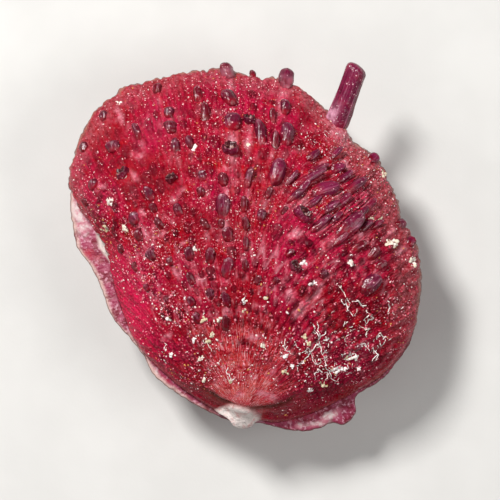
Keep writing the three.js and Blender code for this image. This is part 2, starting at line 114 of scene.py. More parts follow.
# Spines chosen one by one: x, y, width, reach seen from above, and how broken its tip is (0 to 1).
SPINES = [
    (11.5, 45.5, 3.8, 4.9, 0), (-4.5, 47.7, 3.8, 4.1, 0.3), (2.4, 47.0, 1.8, 2.0, 0),
    (-38, 35.5, 2.4, 2.4, 0.2), (-43.5, 27, 2.4, 2.4, 0.2), (35, 24, 2.7, 2.7, 0), (42, 6.5, 2.7, 2.7, 0),
    (44.7, 1.5, 2.6, 2.4, 0), (-23.5, 42.6, 2.4, 2.4, 0.6), (-35, 27, 3.4, 2.9, 0.5),
    (-32, 19.5, 3.4, 2.9, 0.9), (-40.5, 17, 3.2, 2.4, 0.3), (-42.5, 12.5, 2.4, 2.0, 0.2),
    (-25, 14.5, 2.3, 3.8, 0.2), (-19, 18, 2.9, 2.9, 0.7), (-20, 36, 2.7, 2.7, 0.2),
    (-19.5, 32, 3.3, 3.3, 0.2), (-18.5, 27, 2.2, 3.8, 0.1), (-28.5, 31, 2.2, 4.3, 0.1),
    (-14.5, 28, 2.2, 3.2, 0.3), (-10.5, 36, 2.6, 4.9, 0.2), (-12.5, 41, 2.3, 3.8, 0.1),
    (-4, 40, 3.8, 4.3, 0.3), (-3, 33.5, 4.5, 4.2, 0.4), (1.2, 33.5, 3.2, 3.4, 1.0),
    (-3.5, 25.5, 4.3, 4.9, 1.0), (-5.5, 18, 2.8, 3.2, 0.4), (-5.5, 11, 3.3, 6.1, 0.4),
    (-11, 19, 2.2, 2.7, 0.2), (-11.5, 14.7, 2.0, 2.4, 0.2), (-17.5, 10, 2.5, 3.3, 0.3),
    (-29, 8, 3.3, 2.9, 0.4), (-22.5, 6.5, 1.9, 3.2, 0.1), (-4.5, 3.5, 3.1, 3.3, 0.5),
    (0, 11.5, 1.9, 3.8, 0.1), (-10.4, 6.3, 2.2, 2.8, 0.3), (0.4, 6.3, 1.9, 3.3, 0.1),
    (-24, 10.6, 2.0, 2.4, 0.2), (0.4, 1.1, 1.6, 3.2, 0), (0, -4.5, 1.7, 2.8, 0), (-9, -2, 2.5, 3.8, 0.4),
    (-14.5, -1.5, 2.5, 3.3, 0.3), (-24.5, -1.5, 3.2, 2.8, 0.4), (-28, 3.5, 2.8, 2.8, 0.3),
    (-32.5, 0, 2.2, 2.2, 0.2), (-19.5, -3.5, 2.2, 2.2, 0.2), (-29, -5, 1.8, 2.2, 0.2),
    (-4.5, -5.2, 2.8, 4.9, 0.4), (-14, -8, 2.2, 3.2, 0.2), (-26, -10.5, 2.2, 1.9, 0.2),
    (-4.5, -13.5, 2.0, 3.8, 0.2), (-8.8, -12, 2.0, 2.4, 0.2), (-20.5, -13.7, 1.8, 2.2, 0.2),
    (-14, -14, 2.0, 2.4, 0.2), (-5, -19.6, 1.9, 3.8, 0.2), (-12.5, -18.5, 1.9, 2.6, 0.2),
    (13, -5, 3.0, 2.7, 0.9), (4.5, 8.5, 2.2, 2.8, 0.3), (3.5, -8.5, 2.2, 2.4, 0.3),
    (8, -8.6, 1.5, 1.9, 0.2), (12, -1.3, 1.9, 2.4, 0.3), (10.6, 9.7, 1.5, 2.4, 0),
    (6.3, 14.4, 1.8, 3.2, 0.1), (-6, 6.3, 1.8, 2.2, 0.2), (11, 37.5, 2.3, 3.8, 0.2),
    (4.5, 30.5, 2.7, 7.0, 0.1), (8.4, 28.4, 2.0, 4.6, 0), (11.5, 30, 3.8, 5.4, 0.2),
    (9, 20, 4.3, 6.5, 0.2), (1, 18.5, 1.9, 4.9, 0.1), (18.5, 24.5, 2.3, 3.8, 0.2),
    (17.5, 18.5, 2.2, 9.0, 0), (21.5, 15.5, 3.8, 7.0, 0.2), (29.5, 16.5, 2.5, 6.8, 0),
    (15, 8.5, 4.6, 5.6, 1.0), (20.5, 6.5, 2.2, 5.9, 0), (26, 12, 2.1, 5.9, 0), (28.5, 6, 3.8, 8.1, 0.2),
    (32.5, 5.7, 2.0, 4.2, 0), (34.5, -1.5, 2.3, 3.8, 0.3), (33.5, -9.5, 4.0, 5.9, 0.3),
    (21, -7, 2.3, 2.3, 0.3), (24.8, 21, 2.4, 3.6, 0.2), (30, -26.5, 2.2, 2.0, 0.3),
    (15.5, 15.5, 1.8, 5.4, 0), (22.5, 10.6, 1.8, 5.6, 0), (13.4, 13.6, 2.0, 5.0, 0),
    (33.4, 11, 1.9, 4.6, 0), (24.3, 25, 1.8, 4.4, 0), (26.6, 18.6, 1.8, 5.2, 0), (19.6, 21, 1.7, 5.6, 0),
    (31, 8.8, 1.8, 4.8, 0), (24, 7.6, 1.7, 4.8, 0), (18.4, 12, 1.6, 4.6, 0), (12.6, 18.4, 1.6, 4.8, 0),
    (35.4, 6.2, 1.6, 3.8, 0), (30.6, 0.4, 2.0, 4.2, 0.2), (36.4, -4.6, 2.0, 3.2, 0.2),
    (25.6, 2.2, 1.8, 4.4, 0), (7.4, 35.2, 1.8, 3.6, 0),
]

# Spines of the list with a strong pale streak behind the foot, by their number in it.
PALE_FEET = (0, 1, 23, 24, 27, 31, 45)

# The first two spines of the list are the stubs at the top of the edge, and are a little worn at the foot.
TOP_STUBS = 2
STUB_WEAR = 0.15

# The one long spine at the top right of the edge.
LONG_SPINE = dict(x=24.8, y=33.4, width=6.4, reach=16.3, rise=4.5, heading=20.0)

# Worn pale patches on the upper valve: x, y, half length, half width, and which way each lies in degrees.
PALE_PATCHES = [
    (-33.6, 35.2, 3.0, 1.2, 110), (-28.6, 24.5, 2.2, 1.4, 140), (-38.5, 16.5, 2.2, 0.9, 160),
    (-17.9, 13.5, 3.6, 1.3, 45), (-29.3, 19.0, 3.0, 1.0, 130), (-27.3, 9.6, 1.6, 1.0, 100),
    (-22.3, 3.0, 2.6, 0.9, 30), (-16.0, 1.0, 1.8, 0.8, 30), (-5.3, 20.5, 1.2, 0.9, 90),
    (-4.9, 14.7, 1.3, 0.9, 90), (-3.4, 28.6, 2.2, 0.9, 80), (-4.9, -8.8, 2.0, 1.3, 90),
    (20.5, -0.7, 2.8, 0.9, 80), (13.5, 3.6, 2.6, 1.6, 20), (15.8, -4.6, 1.8, 1.2, 30),
    (11.8, -13.0, 2.4, 1.6, 60), (15.2, -15.6, 4.4, 1.8, 60), (19.4, -11.5, 3.0, 1.2, 60),
    (2.3, -23.8, 2.6, 1.0, 0), (5.6, -39.8, 3.6, 1.3, 165), (-1.4, -39.6, 2.6, 1.3, 15),
    (2.8, -34.6, 1.2, 0.9, 0), (7.5, -33.0, 2.6, 0.8, 50), (25.0, 30.4, 5.6, 2.6, 125),
    (27.2, 21.8, 4.0, 1.0, 125), (33.3, 12.0, 4.5, 1.3, 125), (31.0, 3.0, 3.0, 1.2, 100),
    (-11.8, -8.8, 2.2, 0.9, 20), (-4.6, -17.0, 1.6, 1.2, 80), (4.0, -15.6, 2.4, 1.2, 0),
    (-20.8, -24.0, 2.0, 1.0, 40),
]

# White and cream crusts on the upper valve: x, y, and the size across and along in the photo's view.
CRUSTS = [
    (-37.2, 5.4, 2.2, 3.2), (-36.0, 12.2, 2.4, 2.4), (-31.5, 4.9, 2.4, 2.4), (-20.0, -18.8, 1.6, 1.6),
    (-10.7, -19.1, 2.2, 1.6), (-6.9, -19.1, 2.4, 1.6), (-13.3, -24.4, 1.6, 1.9), (-9.6, -25.0, 1.6, 1.6),
    (-8.5, -23.4, 1.1, 2.2), (0.0, -14.1, 1.9, 1.9), (0.0, -16.7, 1.6, 1.4), (-11.7, -29.4, 1.9, 1.6),
    (-19.6, -28.8, 1.4, 1.6), (17.7, -9.5, 3.2, 1.4), (39.3, 0.9, 3.2, 2.7), (44.9, -3.7, 2.0, 3.2),
    (36.2, 7.5, 2.4, 1.4), (33.6, 7.5, 1.6, 1.1), (37.5, 19.6, 1.4, 2.4), (-13.6, 26.5, 2.2, 2.4),
    (-32.0, 19.2, 2.2, 2.2), (4.9, -25.8, 1.1, 1.6), (15.9, -23.3, 1.4, 1.4), (16.6, -25.5, 1.9, 1.4),
    (11.1, -28.7, 1.4, 1.1), (12.8, -31.5, 1.1, 1.6), (25.2, -32.6, 4.6, 1.9), (28.5, -29.6, 3.0, 1.6),
    (20.9, -36.7, 2.4, 1.6), (17.7, -38.5, 1.6, 1.4), (-10.7, -35.6, 1.4, 1.4), (1.2, 27.1, 1.6, 1.1),
    (-33.9, 38.9, 1.6, 1.6), (15.8, -4.0, 2.7, 1.6), (-13.1, -0.2, 1.1, 1.4), (27.9, -4.0, 1.4, 2.2),
    (5.5, -13.2, 1.4, 1.1), (-3.9, -35.8, 1.1, 1.1), (-15.8, -13.7, 1.1, 1.1), (-4.7, -13.2, 1.1, 1.4),
    (10.9, -33.1, 1.6, 1.4), (21.7, -24.2, 1.6, 1.4), (27.4, -29.4, 1.4, 1.4), (30.4, -32.3, 1.4, 1.1),
]

# The worm tubes on the upper valve: the places that each passes.
WORM_TUBES = [
    [(13.9, -31.8), (15.9, -30.6), (17.4, -28.0), (19.4, -25.4), (20.1, -23.3), (19.4, -19.8)],
    [(17.7, -28.3), (18.8, -31.5), (20.0, -30.6)],
    [(18.2, -20.4), (19.0, -22.6), (19.4, -25.4)],
    [(20.1, -23.3), (21.7, -22.2)],
    [(19.4, -25.4), (20.6, -28.0), (21.7, -30.1), (21.7, -31.8), (23.2, -34.7), (24.7, -35.9)],
    [(30.2, -20.4), (31.7, -21.8), (33.1, -21.5), (32.0, -23.3)],
    [(31.5, -19.2), (33.5, -17.8), (34.6, -18.9), (32.9, -19.2)],
    [(35.2, -24.2), (35.8, -22.7), (37.9, -23.9)],
    [(35.5, -25.0), (36.6, -26.6)],
    [(25.8, -14.8), (27.3, -16.0), (29.0, -18.0)],
    [(30.5, -26.0), (32.0, -25.7), (32.8, -27.1)],
    [(10.4, -26.1), (10.9, -27.2), (12.0, -27.5)],
    [(25.2, -9.9), (26.3, -11.8), (26.9, -13.7), (27.4, -15.1)],
    [(22.3, -32.1), (23.9, -33.4), (25.8, -32.6), (27.4, -33.4)],
    [(27.1, -29.9), (28.5, -28.8), (29.8, -30.4)],
    [(-5.0, -33.4), (-4.2, -34.2), (-3.6, -35.6), (-2.6, -35.0)],
    [(29.8, -14.2), (30.6, -15.3), (32.0, -15.1)],
    [(37.9, -14.2), (38.7, -15.9), (38.2, -17.2)],
    [(-10.7, -24.2), (-9.3, -26.4), (-8.5, -27.7)],
    [(-22.0, -28.3), (-21.5, -26.7), (-20.7, -26.1)],
    [(33.9, -26.7), (35.2, -28.3), (34.4, -29.9)],
    [(18.8, -33.7), (20.4, -33.1), (22.5, -34.2)],
    [(15.0, -28.3), (16.3, -27.7), (17.4, -28.0)],
]

# Pale patches on the lower valve where it shows from above: x, y, half length, half width, direction.
LOWER_PATCHES = [
    (-44.9, 8.6, 7.4, 2.3, 110), (-46.6, 16.5, 3.0, 0.8, 100), (-24.4, -33.8, 6.6, 1.2, 133),
    (-17.0, -40.4, 1.8, 0.7, 150), (20.0, -47.9, 3.4, 1.2, 8), (23.2, -45.6, 3.6, 1.0, 25),
    (14.8, -48.3, 0.8, 1.3, 100),
]

# Ribs and growth rows on the upper valve.
RIB_STEP = 3.9
FINE_STEP = RIB_STEP / 4
ROW_COUNT = 21
ROW_LENGTH = FULL_LENGTH / ROW_COUNT

# Ribs and growth rows on the lower valve: degrees to a rib and to a fine rib, and the count of rows.
LOWER_RIB = 5.0
LOWER_FINE = 1.5
LOWER_ROWS = 10

# A spine as broken as this, or more, is an open tube.
HOLLOW_FROM = 0.6

# How fine the meshes are.
TABLE_SIZE = 720
UPPER_GRID = 286
LOWER_SPOKES = 720
LOWER_STEPS = 110
SPINE_SIDES = 18
GRAIN_COUNT = 8600


def srgb(red, green, blue):
    """The linear colour of a value from 0 to 255."""
    def linear(value):
        value /= 255
        return value / 12.92 if value <= 0.04045 else ((value + 0.055) / 1.055) ** 2.4
    return (linear(red), linear(green), linear(blue), 1.0)


def smoothstep(low, high, value):
    """A smooth step from 0 to 1 between two values, which may be given high to low."""
    part = np.clip((value - low) / (high - low), 0, 1)
    return part * part * (3 - 2 * part)


def bell(value, width):
    """1 at zero, falling away on both sides."""
    return np.exp(-(value / width) ** 2)


def wave(angle):
    """A cosine from 0 to 1."""
    return 0.5 + 0.5 * np.cos(angle)


def polar(radius, angle):
    """Places in plan at a distance and a direction from the centre."""
    return CENTRE[0] + radius * np.cos(angle), CENTRE[1] + radius * np.sin(angle)


def toward(share, x, y, middle=CENTRE):
    """Places in plan that lie a share of the way from a middle to other places."""
    return middle[0] + share * (x - middle[0]), middle[1] + share * (y - middle[1])


def turned(x, y, angle):
    """Level directions or places turned anticlockwise."""
    cosine = np.cos(angle)
    sine = np.sin(angle)
    return np.stack([x * cosine - y * sine, x * sine + y * cosine], -1)


def beak_distance(x, y):
    """How far a place is from the beak in plan."""
    return np.hypot(x - BEAK[0], y - BEAK[1])


def step_distance(x, y):
    """How far a place is past the step behind the beak."""
    return np.hypot(x - UMBO_STEP[0], y - UMBO_STEP[1]) - UMBO_STEP_RADIUS


def table_angles():
    """The directions of the tables of distances, half a degree apart."""
    return -np.pi + np.arange(TABLE_SIZE) * 2 * np.pi / TABLE_SIZE


def closed_curve(outline, count):
    """Points along a smooth closed line through an outline."""
    points = np.array(outline, float)
    place = np.arange(count) / count * len(points)
    index = place.astype(int)
    part = (place - index)[:, None]
    before, start, end, after = (points[(index + offset) % len(points)] for offset in (-1, 0, 1, 2))
    return 0.5 * (
        2 * start
        + (end - before) * part
        + (2 * before - 5 * start + 4 * end - after) * part ** 2
        + (3 * start - before - 3 * end + after) * part ** 3
    )


def radius_table(outline):
    """The distance from the centre to an outline, for each half degree."""
    curve = closed_curve(outline, 6000) - np.array(CENTRE)
    angle = np.arctan2(curve[:, 1], curve[:, 0])
    order = np.argsort(angle)
    return np.interp(table_angles(), angle[order], np.hypot(*curve.T)[order], period=2 * np.pi)


def smooth_table(table, half_span):
    """A table averaged over its neighbours on both sides."""
    weight = 1 - np.abs(np.arange(-half_span, half_span + 1)) / (half_span + 1)
    around = np.concatenate([table[-half_span:], table, table[:half_span]])
    return np.convolve(around, weight / weight.sum(), "valid")


def look_up(table, angle):
    """The table's distance in any direction."""
    place = (angle + np.pi) * TABLE_SIZE / (2 * np.pi)
    step = np.floor(place).astype(int)
    part = place - step
    return table[step % TABLE_SIZE] * (1 - part) + table[(step + 1) % TABLE_SIZE] * part


# The outlines as distances from the centre, and the same without their small bays.
UPPER_SPAN = 44
LOWER_SPAN = 50
LOWER_SHRINK = 0.997
UPPER_RADIUS = radius_table(UPPER_OUTLINE)
UPPER_ROUND = smooth_table(UPPER_RADIUS, UPPER_SPAN)
LOWER_RADIUS = LOWER_SHRINK * radius_table(LOWER_OUTLINE)
LOWER_ROUND = smooth_table(LOWER_RADIUS, LOWER_SPAN)


class Place:
    """Where points lie in plan: their direction from the centre and part of the way to the edges."""

    def __init__(self, x, y):
        dx = x - CENTRE[0]
        dy = y - CENTRE[1]
        self.angle = np.arctan2(dy, dx)
        self.radius = np.hypot(dx, dy)
        self.upper_radius = look_up(UPPER_RADIUS, self.angle)
        self.edge = self.radius / self.upper_radius
        blend = smoothstep(0.5, 1, self.edge)
        upper_reach = look_up(UPPER_ROUND, self.angle) * (1 - blend) + self.upper_radius * blend
        lower_reach = np.minimum(look_up(LOWER_ROUND, self.angle), look_up(LOWER_RADIUS, self.angle))
        self.upper_part = self.radius / upper_reach
        self.lower_part = self.radius / lower_reach


def seam(place):
    """The height at which the valves meet: level in the middle and waved at the edge."""
    rise = sum(height * np.cos(count * place.angle + shift) for height, count, shift in SEAM_WAVES)
    return SEAM_HEIGHT + rise * np.minimum(place.edge, 1.05) ** 2


def upper_face(x, y):
    """The plain outer face of the upper valve."""
    place = Place(x, y)
    base = seam(place) + SEAM_GAP / 2
    near_beak = smoothstep(-36, -40, y) * (1 - smoothstep(0.96, 1, place.edge))
    power = 0.76 + 0.14 * np.sin(place.angle)
    dome = DOME_RISE * np.maximum(0, 1 - place.upper_part ** DOME_POWER) ** power
    body = UPPER_LIP + dome - UMBO_STEP_DROP * smoothstep(0, 3, step_distance(x, y)) * near_beak
    across = ((x - KNOB[0]) / KNOB_RADIUS[0]) ** 2 + ((y - KNOB[1]) / KNOB_RADIUS[1]) ** 2
    bump = KNOB_HEIGHT * np.sqrt(np.maximum(0, 1 - across))
    part = np.clip(0.5 + (body - bump) / (2 * KNOB_BLEND), 0, 1)
    return base + bump * (1 - part) + body * part + KNOB_BLEND * part * (1 - part)


def upper_inside(x, y):
    """The hollow under the upper valve."""
    place = Place(x, y)
    inward = np.maximum(0, 1 - (place.upper_part / CAVITY_EDGE) ** DOME_POWER) ** 0.85
    return seam(place) + SEAM_GAP / 2 + (DOME_RISE - UPPER_WALL) * inward


def lower_inside(x, y):
    """The cup of the lower valve, and its lip, which slopes down past the upper valve's edge."""
    place = Place(x, y)
    past = np.maximum(0, place.radius - place.upper_radius)
    slope = LIP_SLOPE + EAR_SLOPE * smoothstep(0, 25, x)
    cup = SEAM_HEIGHT - SEAM_GAP / 2 - LOWER_FLOOR
    inward = np.maximum(0, 1 - (place.lower_part / CAVITY_EDGE) ** CUP_POWER) ** 0.7
    return seam(place) - SEAM_GAP / 2 - slope * past - cup * inward


def lower_outside(x, y, part):
    """The outer face of the lower valve, at a part of the way from the scar to the edge."""
    place = Place(x, y)
    flange = lower_inside(x, y) - LOWER_LIP
    bowl = 0.5 * part + 0.5 * (1 - np.maximum(0, 1 - part * part) ** BOWL_POWER)
    bowl = np.where(place.lower_part < 1, bowl, 1)
    return np.minimum(flange, (seam(place) - LOWER_LIP) * bowl)


# The random values that all the noise is made from.
NOISE_SIDE = 256
NOISE_TABLE = np.random.default_rng(11).random((NOISE_SIDE, NOISE_SIDE))


def value_noise(x, y, seed):
    """Smooth noise from 0 to 1 with one lump to each unit. Each seed reads another part of the table."""
    x = x + 37.7 * seed
    y = y + 53.3 * seed
    column = np.floor(x).astype(int)
    row = np.floor(y).astype(int)
    across = x - column
    along = y - row
    across = across * across * (3 - 2 * across)
    along = along * along * (3 - 2 * along)

    def corner(column_step, row_step):
        return NOISE_TABLE[(column + column_step) % NOISE_SIDE, (row + row_step) % NOISE_SIDE]

    near = corner(0, 0) * (1 - across) + corner(1, 0) * across
    far = corner(0, 1) * (1 - across) + corner(1, 1) * across
    return near * (1 - along) + far * along


def layered_noise(x, y, size, seed, layers=3):
    """Noise from -1 to 1 whose widest lumps have the given size in millimetres."""
    total = np.zeros_like(x, dtype=float)
    strength = 1.0
    whole = 0.0
    for layer in range(layers):
        total += strength * (2 * value_noise(x / size, y / size, seed + 7 * layer) - 1)
        whole += strength
        strength *= 0.5
        size *= 0.5
    return total / whole


def rib_label(x, y):
    """The rib that a point lies on, in degrees at the beak. Ribs on the right bend outwards."""
    heading = np.degrees(np.arctan2(x - BEAK[0], y - BEAK[1]))
    reach = beak_distance(x, y) / FULL_LENGTH
    bend = 17 * bell(heading - 28, 18) * smoothstep(0.25, 0.85, reach)
    return heading - bend + 0.35 * layered_noise(x, y, 9.0, 5, 2)


def rib_direction(x, y):
    """The level direction that a rib runs in, away from the beak."""
    step = 0.4
    across_x = rib_label(x + step, y) - rib_label(x - step, y)
    across_y = rib_label(x, y + step) - rib_label(x, y - step)
    along = np.stack([-across_y, across_x], -1)
    outward = np.stack([x - BEAK[0], y - BEAK[1]], -1)
    along *= np.sign((along * outward).sum(-1, keepdims=True))
    return along / np.maximum(np.linalg.norm(along, axis=-1, keepdims=True), 1e-9)


SPINE_HEADINGS = rib_direction(*np.array(SPINES, float).T[:2])


def beak_table():
    """How far the rounded edge is from the beak, for each half degree."""
    edge_x, edge_y = polar(UPPER_ROUND, table_angles())
    heading = np.arctan2(edge_y - BEAK[1], edge_x - BEAK[0])
    order = np.argsort(heading)
    distance = beak_distance(edge_x, edge_y)
    return np.interp(table_angles(), heading[order], distance[order], period=2 * np.pi)


BEAK_REACH = smooth_table(beak_table(), 12)


def growth(x, y):
    """The growth stage: 0 at the beak and 1 at the edge."""
    heading = np.arctan2(y - BEAK[1], x - BEAK[0])
    return beak_distance(x, y) / look_up(BEAK_REACH, heading)


def new_mesh(name, points, faces, values=None):
    """A mesh object from points in millimetres, with smooth faces and values for each point."""
    mesh = bpy.data.meshes.new(name)
    points = np.asarray(points, float) * MM
    faces = np.asarray(faces, int)
    mesh.vertices.add(len(points))
    mesh.vertices.foreach_set("co", points.ravel())
    mesh.loops.add(faces.size)
    mesh.loops.foreach_set("vertex_index", faces.ravel())
    mesh.polygons.add(len(faces))
    mesh.polygons.foreach_set("loop_start", np.arange(0, faces.size, faces.shape[1]))
    mesh.update(calc_edges=True)
    mesh.polygons.foreach_set("use_smooth", np.ones(len(faces), bool))
    for key, value in (values or {}).items():
        layer = mesh.attributes.new(key, "FLOAT", "POINT")
        layer.data.foreach_set("value", np.asarray(value, np.float32))
    mesh.validate()
    piece = bpy.data.objects.new(name, mesh)
    bpy.context.scene.collection.objects.link(piece)
    return piece


def below_top(points):
    """Eases the highest points down so that none stands above the CAD model."""
    soft = TOP - TOP_EASE
    over = np.maximum(points[:, 2] - soft, 0)
    points[:, 2] = np.minimum(points[:, 2], soft) + (TOP - soft) * np.tanh(over / (TOP - soft))
    return points


def surface_normals(face, x, y):
    """Upward normals of a height function, kept from lying flat at the steep edge."""
    step = 0.15
    slope_x = (face(x + step, y) - face(x - step, y)) / (2 * step)
    slope_y = (face(x, y + step) - face(x, y - step)) / (2 * step)
    steep = np.maximum(1, np.hypot(slope_x, slope_y) / 1.6)
    normals = np.stack([-slope_x / steep, -slope_y / steep, np.ones_like(x)], -1)
    return normals / np.linalg.norm(normals, axis=-1, keepdims=True)


# Six random values for each bud: two shifts, whether it exists, and its width, length and height.
LOT_RIBS = 256
LOT_ROWS = 64
LOTS = np.random.default_rng(19).random((LOT_RIBS, LOT_ROWS, 6))


# Half the width of the smallest buds, and how much the others add to it at most.
BUD_LEAST = 0.70
BUD_SPREAD = 0.72


def buds(x, y, label, stage, reach, shift, share):
    """Small flattened buds, one to a rib in each growth row: height, darkness, and the dark flame behind."""
    rib = label / RIB_STEP + shift
    row = stage * ROW_COUNT + 0.45 * layered_noise(x, y, 13, 131, 2) + 0.5 * shift
    rib_index = np.floor(rib + 0.5).astype(int)
    row_index = np.floor(row).astype(int)
    lot = LOTS[(rib_index + round(37 * shift)) % LOT_RIBS, row_index % LOT_ROWS]
    across = (rib - rib_index - 0.24 * (lot[..., 0] - 0.5)) * np.radians(RIB_STEP) * reach
    along = (row - row_index - 0.62 - 0.3 * (lot[..., 1] - 0.5)) * ROW_LENGTH
    exists = (lot[..., 2] < share).astype(float)
    half_width = (BUD_LEAST + BUD_SPREAD * lot[..., 3] ** 1.4) * np.clip(reach / 38, 0.50, 1.1)
    half_length = half_width * (1.25 + 0.9 * lot[..., 4])
    stretch = np.where(along > 0, 0.75, 1.15)
    inside = np.maximum(0, 1 - (across / half_width) ** 2 - (along / (half_length * stretch)) ** 2)
    height = exists * (0.50 + 0.5 * lot[..., 5]) * half_width * np.sqrt(inside)
    flame = bell(across, 1.35 * half_width * (1 + 0.25 * along / ROW_LENGTH))
    flame *= smoothstep(-2.6, -0.4, along)
    flame *= smoothstep(2.2, 0.7, along)
    dark = exists * smoothstep(0.0, 0.40, inside) * (0.55 + 0.45 * lot[..., 5])
    return height, dark, flame * (0.4 + 0.6 * exists)


def all_buds(x, y, label, stage, reach):
    """The buds on the ribs, and those between them on the outer half."""
    outer = smoothstep(0.5, 0.62, stage)
    first = np.array(buds(x, y, label, stage, reach, 0.0, 0.90))
    second = np.array(buds(x, y, label, stage, reach, 0.5, 0.66))
    return np.maximum(first, second * outer)


def growth_rows(x, y, label, stage):
    """Growth ledges that climb outwards and drop back, with a pale start to each row."""
    zigzag = 0.22 * np.cos(2 * np.pi * label / RIB_STEP) + 0.5 * layered_noise(x, y, 11, 21, 3)
    row = stage * ROW_COUNT / 2 + zigzag
    part = row - np.floor(row)
    strength = 0.35 + 0.65 * value_noise(x / 8, y / 8, 27)
    climb = 0.42 * part ** 2 * smoothstep(1.0, 0.90, part) * strength
    pale = smoothstep(0.0, 0.10, part) * smoothstep(0.42, 0.16, part)
    here = smoothstep(0.36, 0.62, value_noise(x / 6.5, y / 6.5, 33))
    pale *= here * (0.35 + 0.65 * smoothstep(14, -2, y))
    return climb, pale


def spine_beds(x, y):
    """The swelling that carries each large spine, its dark surround and the pale streak behind it."""
    swell = np.zeros_like(x)
    surround = np.zeros_like(x)
    streak = np.zeros_like(x)
    clear = np.ones_like(x)
    for number, (middle_x, middle_y, wide, reach, _) in enumerate(SPINES):
        ahead_x, ahead_y = SPINE_HEADINGS[number]
        far_x = x - middle_x
        far_y = y - middle_y
        close = np.hypot(far_x, far_y) < 2.5 * wide + reach
        along = far_x[close] * ahead_x + far_y[close] * ahead_y
        across = far_y[close] * ahead_x - far_x[close] * ahead_y
        foot = -0.5 * reach
        rise = smoothstep(foot - 1.2 * wide, foot + 0.6 * wide, along)
        rise *= smoothstep(0.62 * reach, foot + 0.35 * reach, along)
        swell[close] = np.maximum(swell[close], 0.17 * wide * bell(across, 0.62 * wide) * rise)
        ring = np.maximum(0, np.abs(along) - 0.5 * reach)
        surround[close] = np.maximum(surround[close], bell(across, 0.66 * wide) * bell(ring, 0.42 * wide))
        back = bell(across, 0.30 * wide) * bell(along - foot + 1.1 * wide, 0.9 * wide)
        chance = 1.0 if number in PALE_FEET else 0.75 * LOTS[number, 5, 0] ** 1.5
        streak[close] = np.maximum(streak[close], chance * back)
        clear[close] *= 1 - bell(across, 0.8 * wide) * bell(ring, 0.45 * wide)
    return swell, surround, streak, clear


def patches(x, y, places, seed):
    """How much each point lies in one of the ragged patches."""
    total = np.zeros_like(x)
    ragged = 0.5 * layered_noise(x, y, 1.8, seed, 3)
    for middle_x, middle_y, length, width, degrees in places:
        turn = math.radians(degrees)
        along = (x - middle_x) * math.cos(turn) + (y - middle_y) * math.sin(turn)
        across = (y - middle_y) * math.cos(turn) - (x - middle_x) * math.sin(turn)
        inside = 1.0 - np.hypot(along / length, across / width) + ragged
        total = np.maximum(total, smoothstep(-0.15, 0.70, inside))
    return total


def flank(place):
    """How much a point lies on the smooth lower left side of the upper valve."""
    turn = (np.degrees(place.angle) + 152 + 180) % 360 - 180
    return bell(turn, 26) * smoothstep(0.71, 0.87, place.edge)


def grainy_rim(x, y, place):
    """How much a point lies on the grainy band within the upper valve's edge."""
    start = place.edge + 0.03 * layered_noise(x, y, 7, 31) + 0.07 * smoothstep(14, 34, x)
    rim = smoothstep(0.87, 0.955, start)
    rim *= smoothstep(-20, 5, y + 0.3 * x) * (0.55 + 0.45 * smoothstep(-5, 20, x))
    return rim


def beak_marks(x, y, coarse):
    """The worn knob at the beak, and the groove along the step behind it."""
    groove = bell(step_distance(x, y) - 0.4, 0.75) * smoothstep(-37, -40, y)
    groove *= smoothstep(-14.5, -10, x) * smoothstep(15, 12, x)
    knob = np.hypot((x - KNOB_MARK[0]) / KNOB_MARK_RADIUS[0], (y - KNOB_MARK[1]) / KNOB_MARK_RADIUS[1])
    return smoothstep(1.15, 0.80, knob + 0.16 * coarse), groove


def bud_cover(x, y, place, reach, rim):
    """How strongly the buds stand out: less near the beak, on the rim, in bare spots and at the top left."""
    cover = smoothstep(11, 20, reach) * (1 - 0.8 * rim) * smoothstep(0.99, 0.90, place.edge)
    cover *= 0.25 + 0.75 * smoothstep(0.20, 0.38, value_noise(x / 7, y / 7, 151))
    return cover * (1 - 0.25 * smoothstep(8, 20, y) * smoothstep(4, -6, x))


# How far things stand out on the upper valve.
EARLY_RIB = 0.16
GROWN_RIB = 0.20
RIBLET = 0.20
THATCH_RIBLET = 0.30
LONG_SPINE_BED = 1.6
LUMP = 0.40
GRIT = 0.16
COARSE = 0.16
FLAME_DROP = 0.25
RIM_GRIT = 0.26
RIM_LUMP = 0.30
SKIN_DROP = 0.45
GROOVE_DROP = 0.7


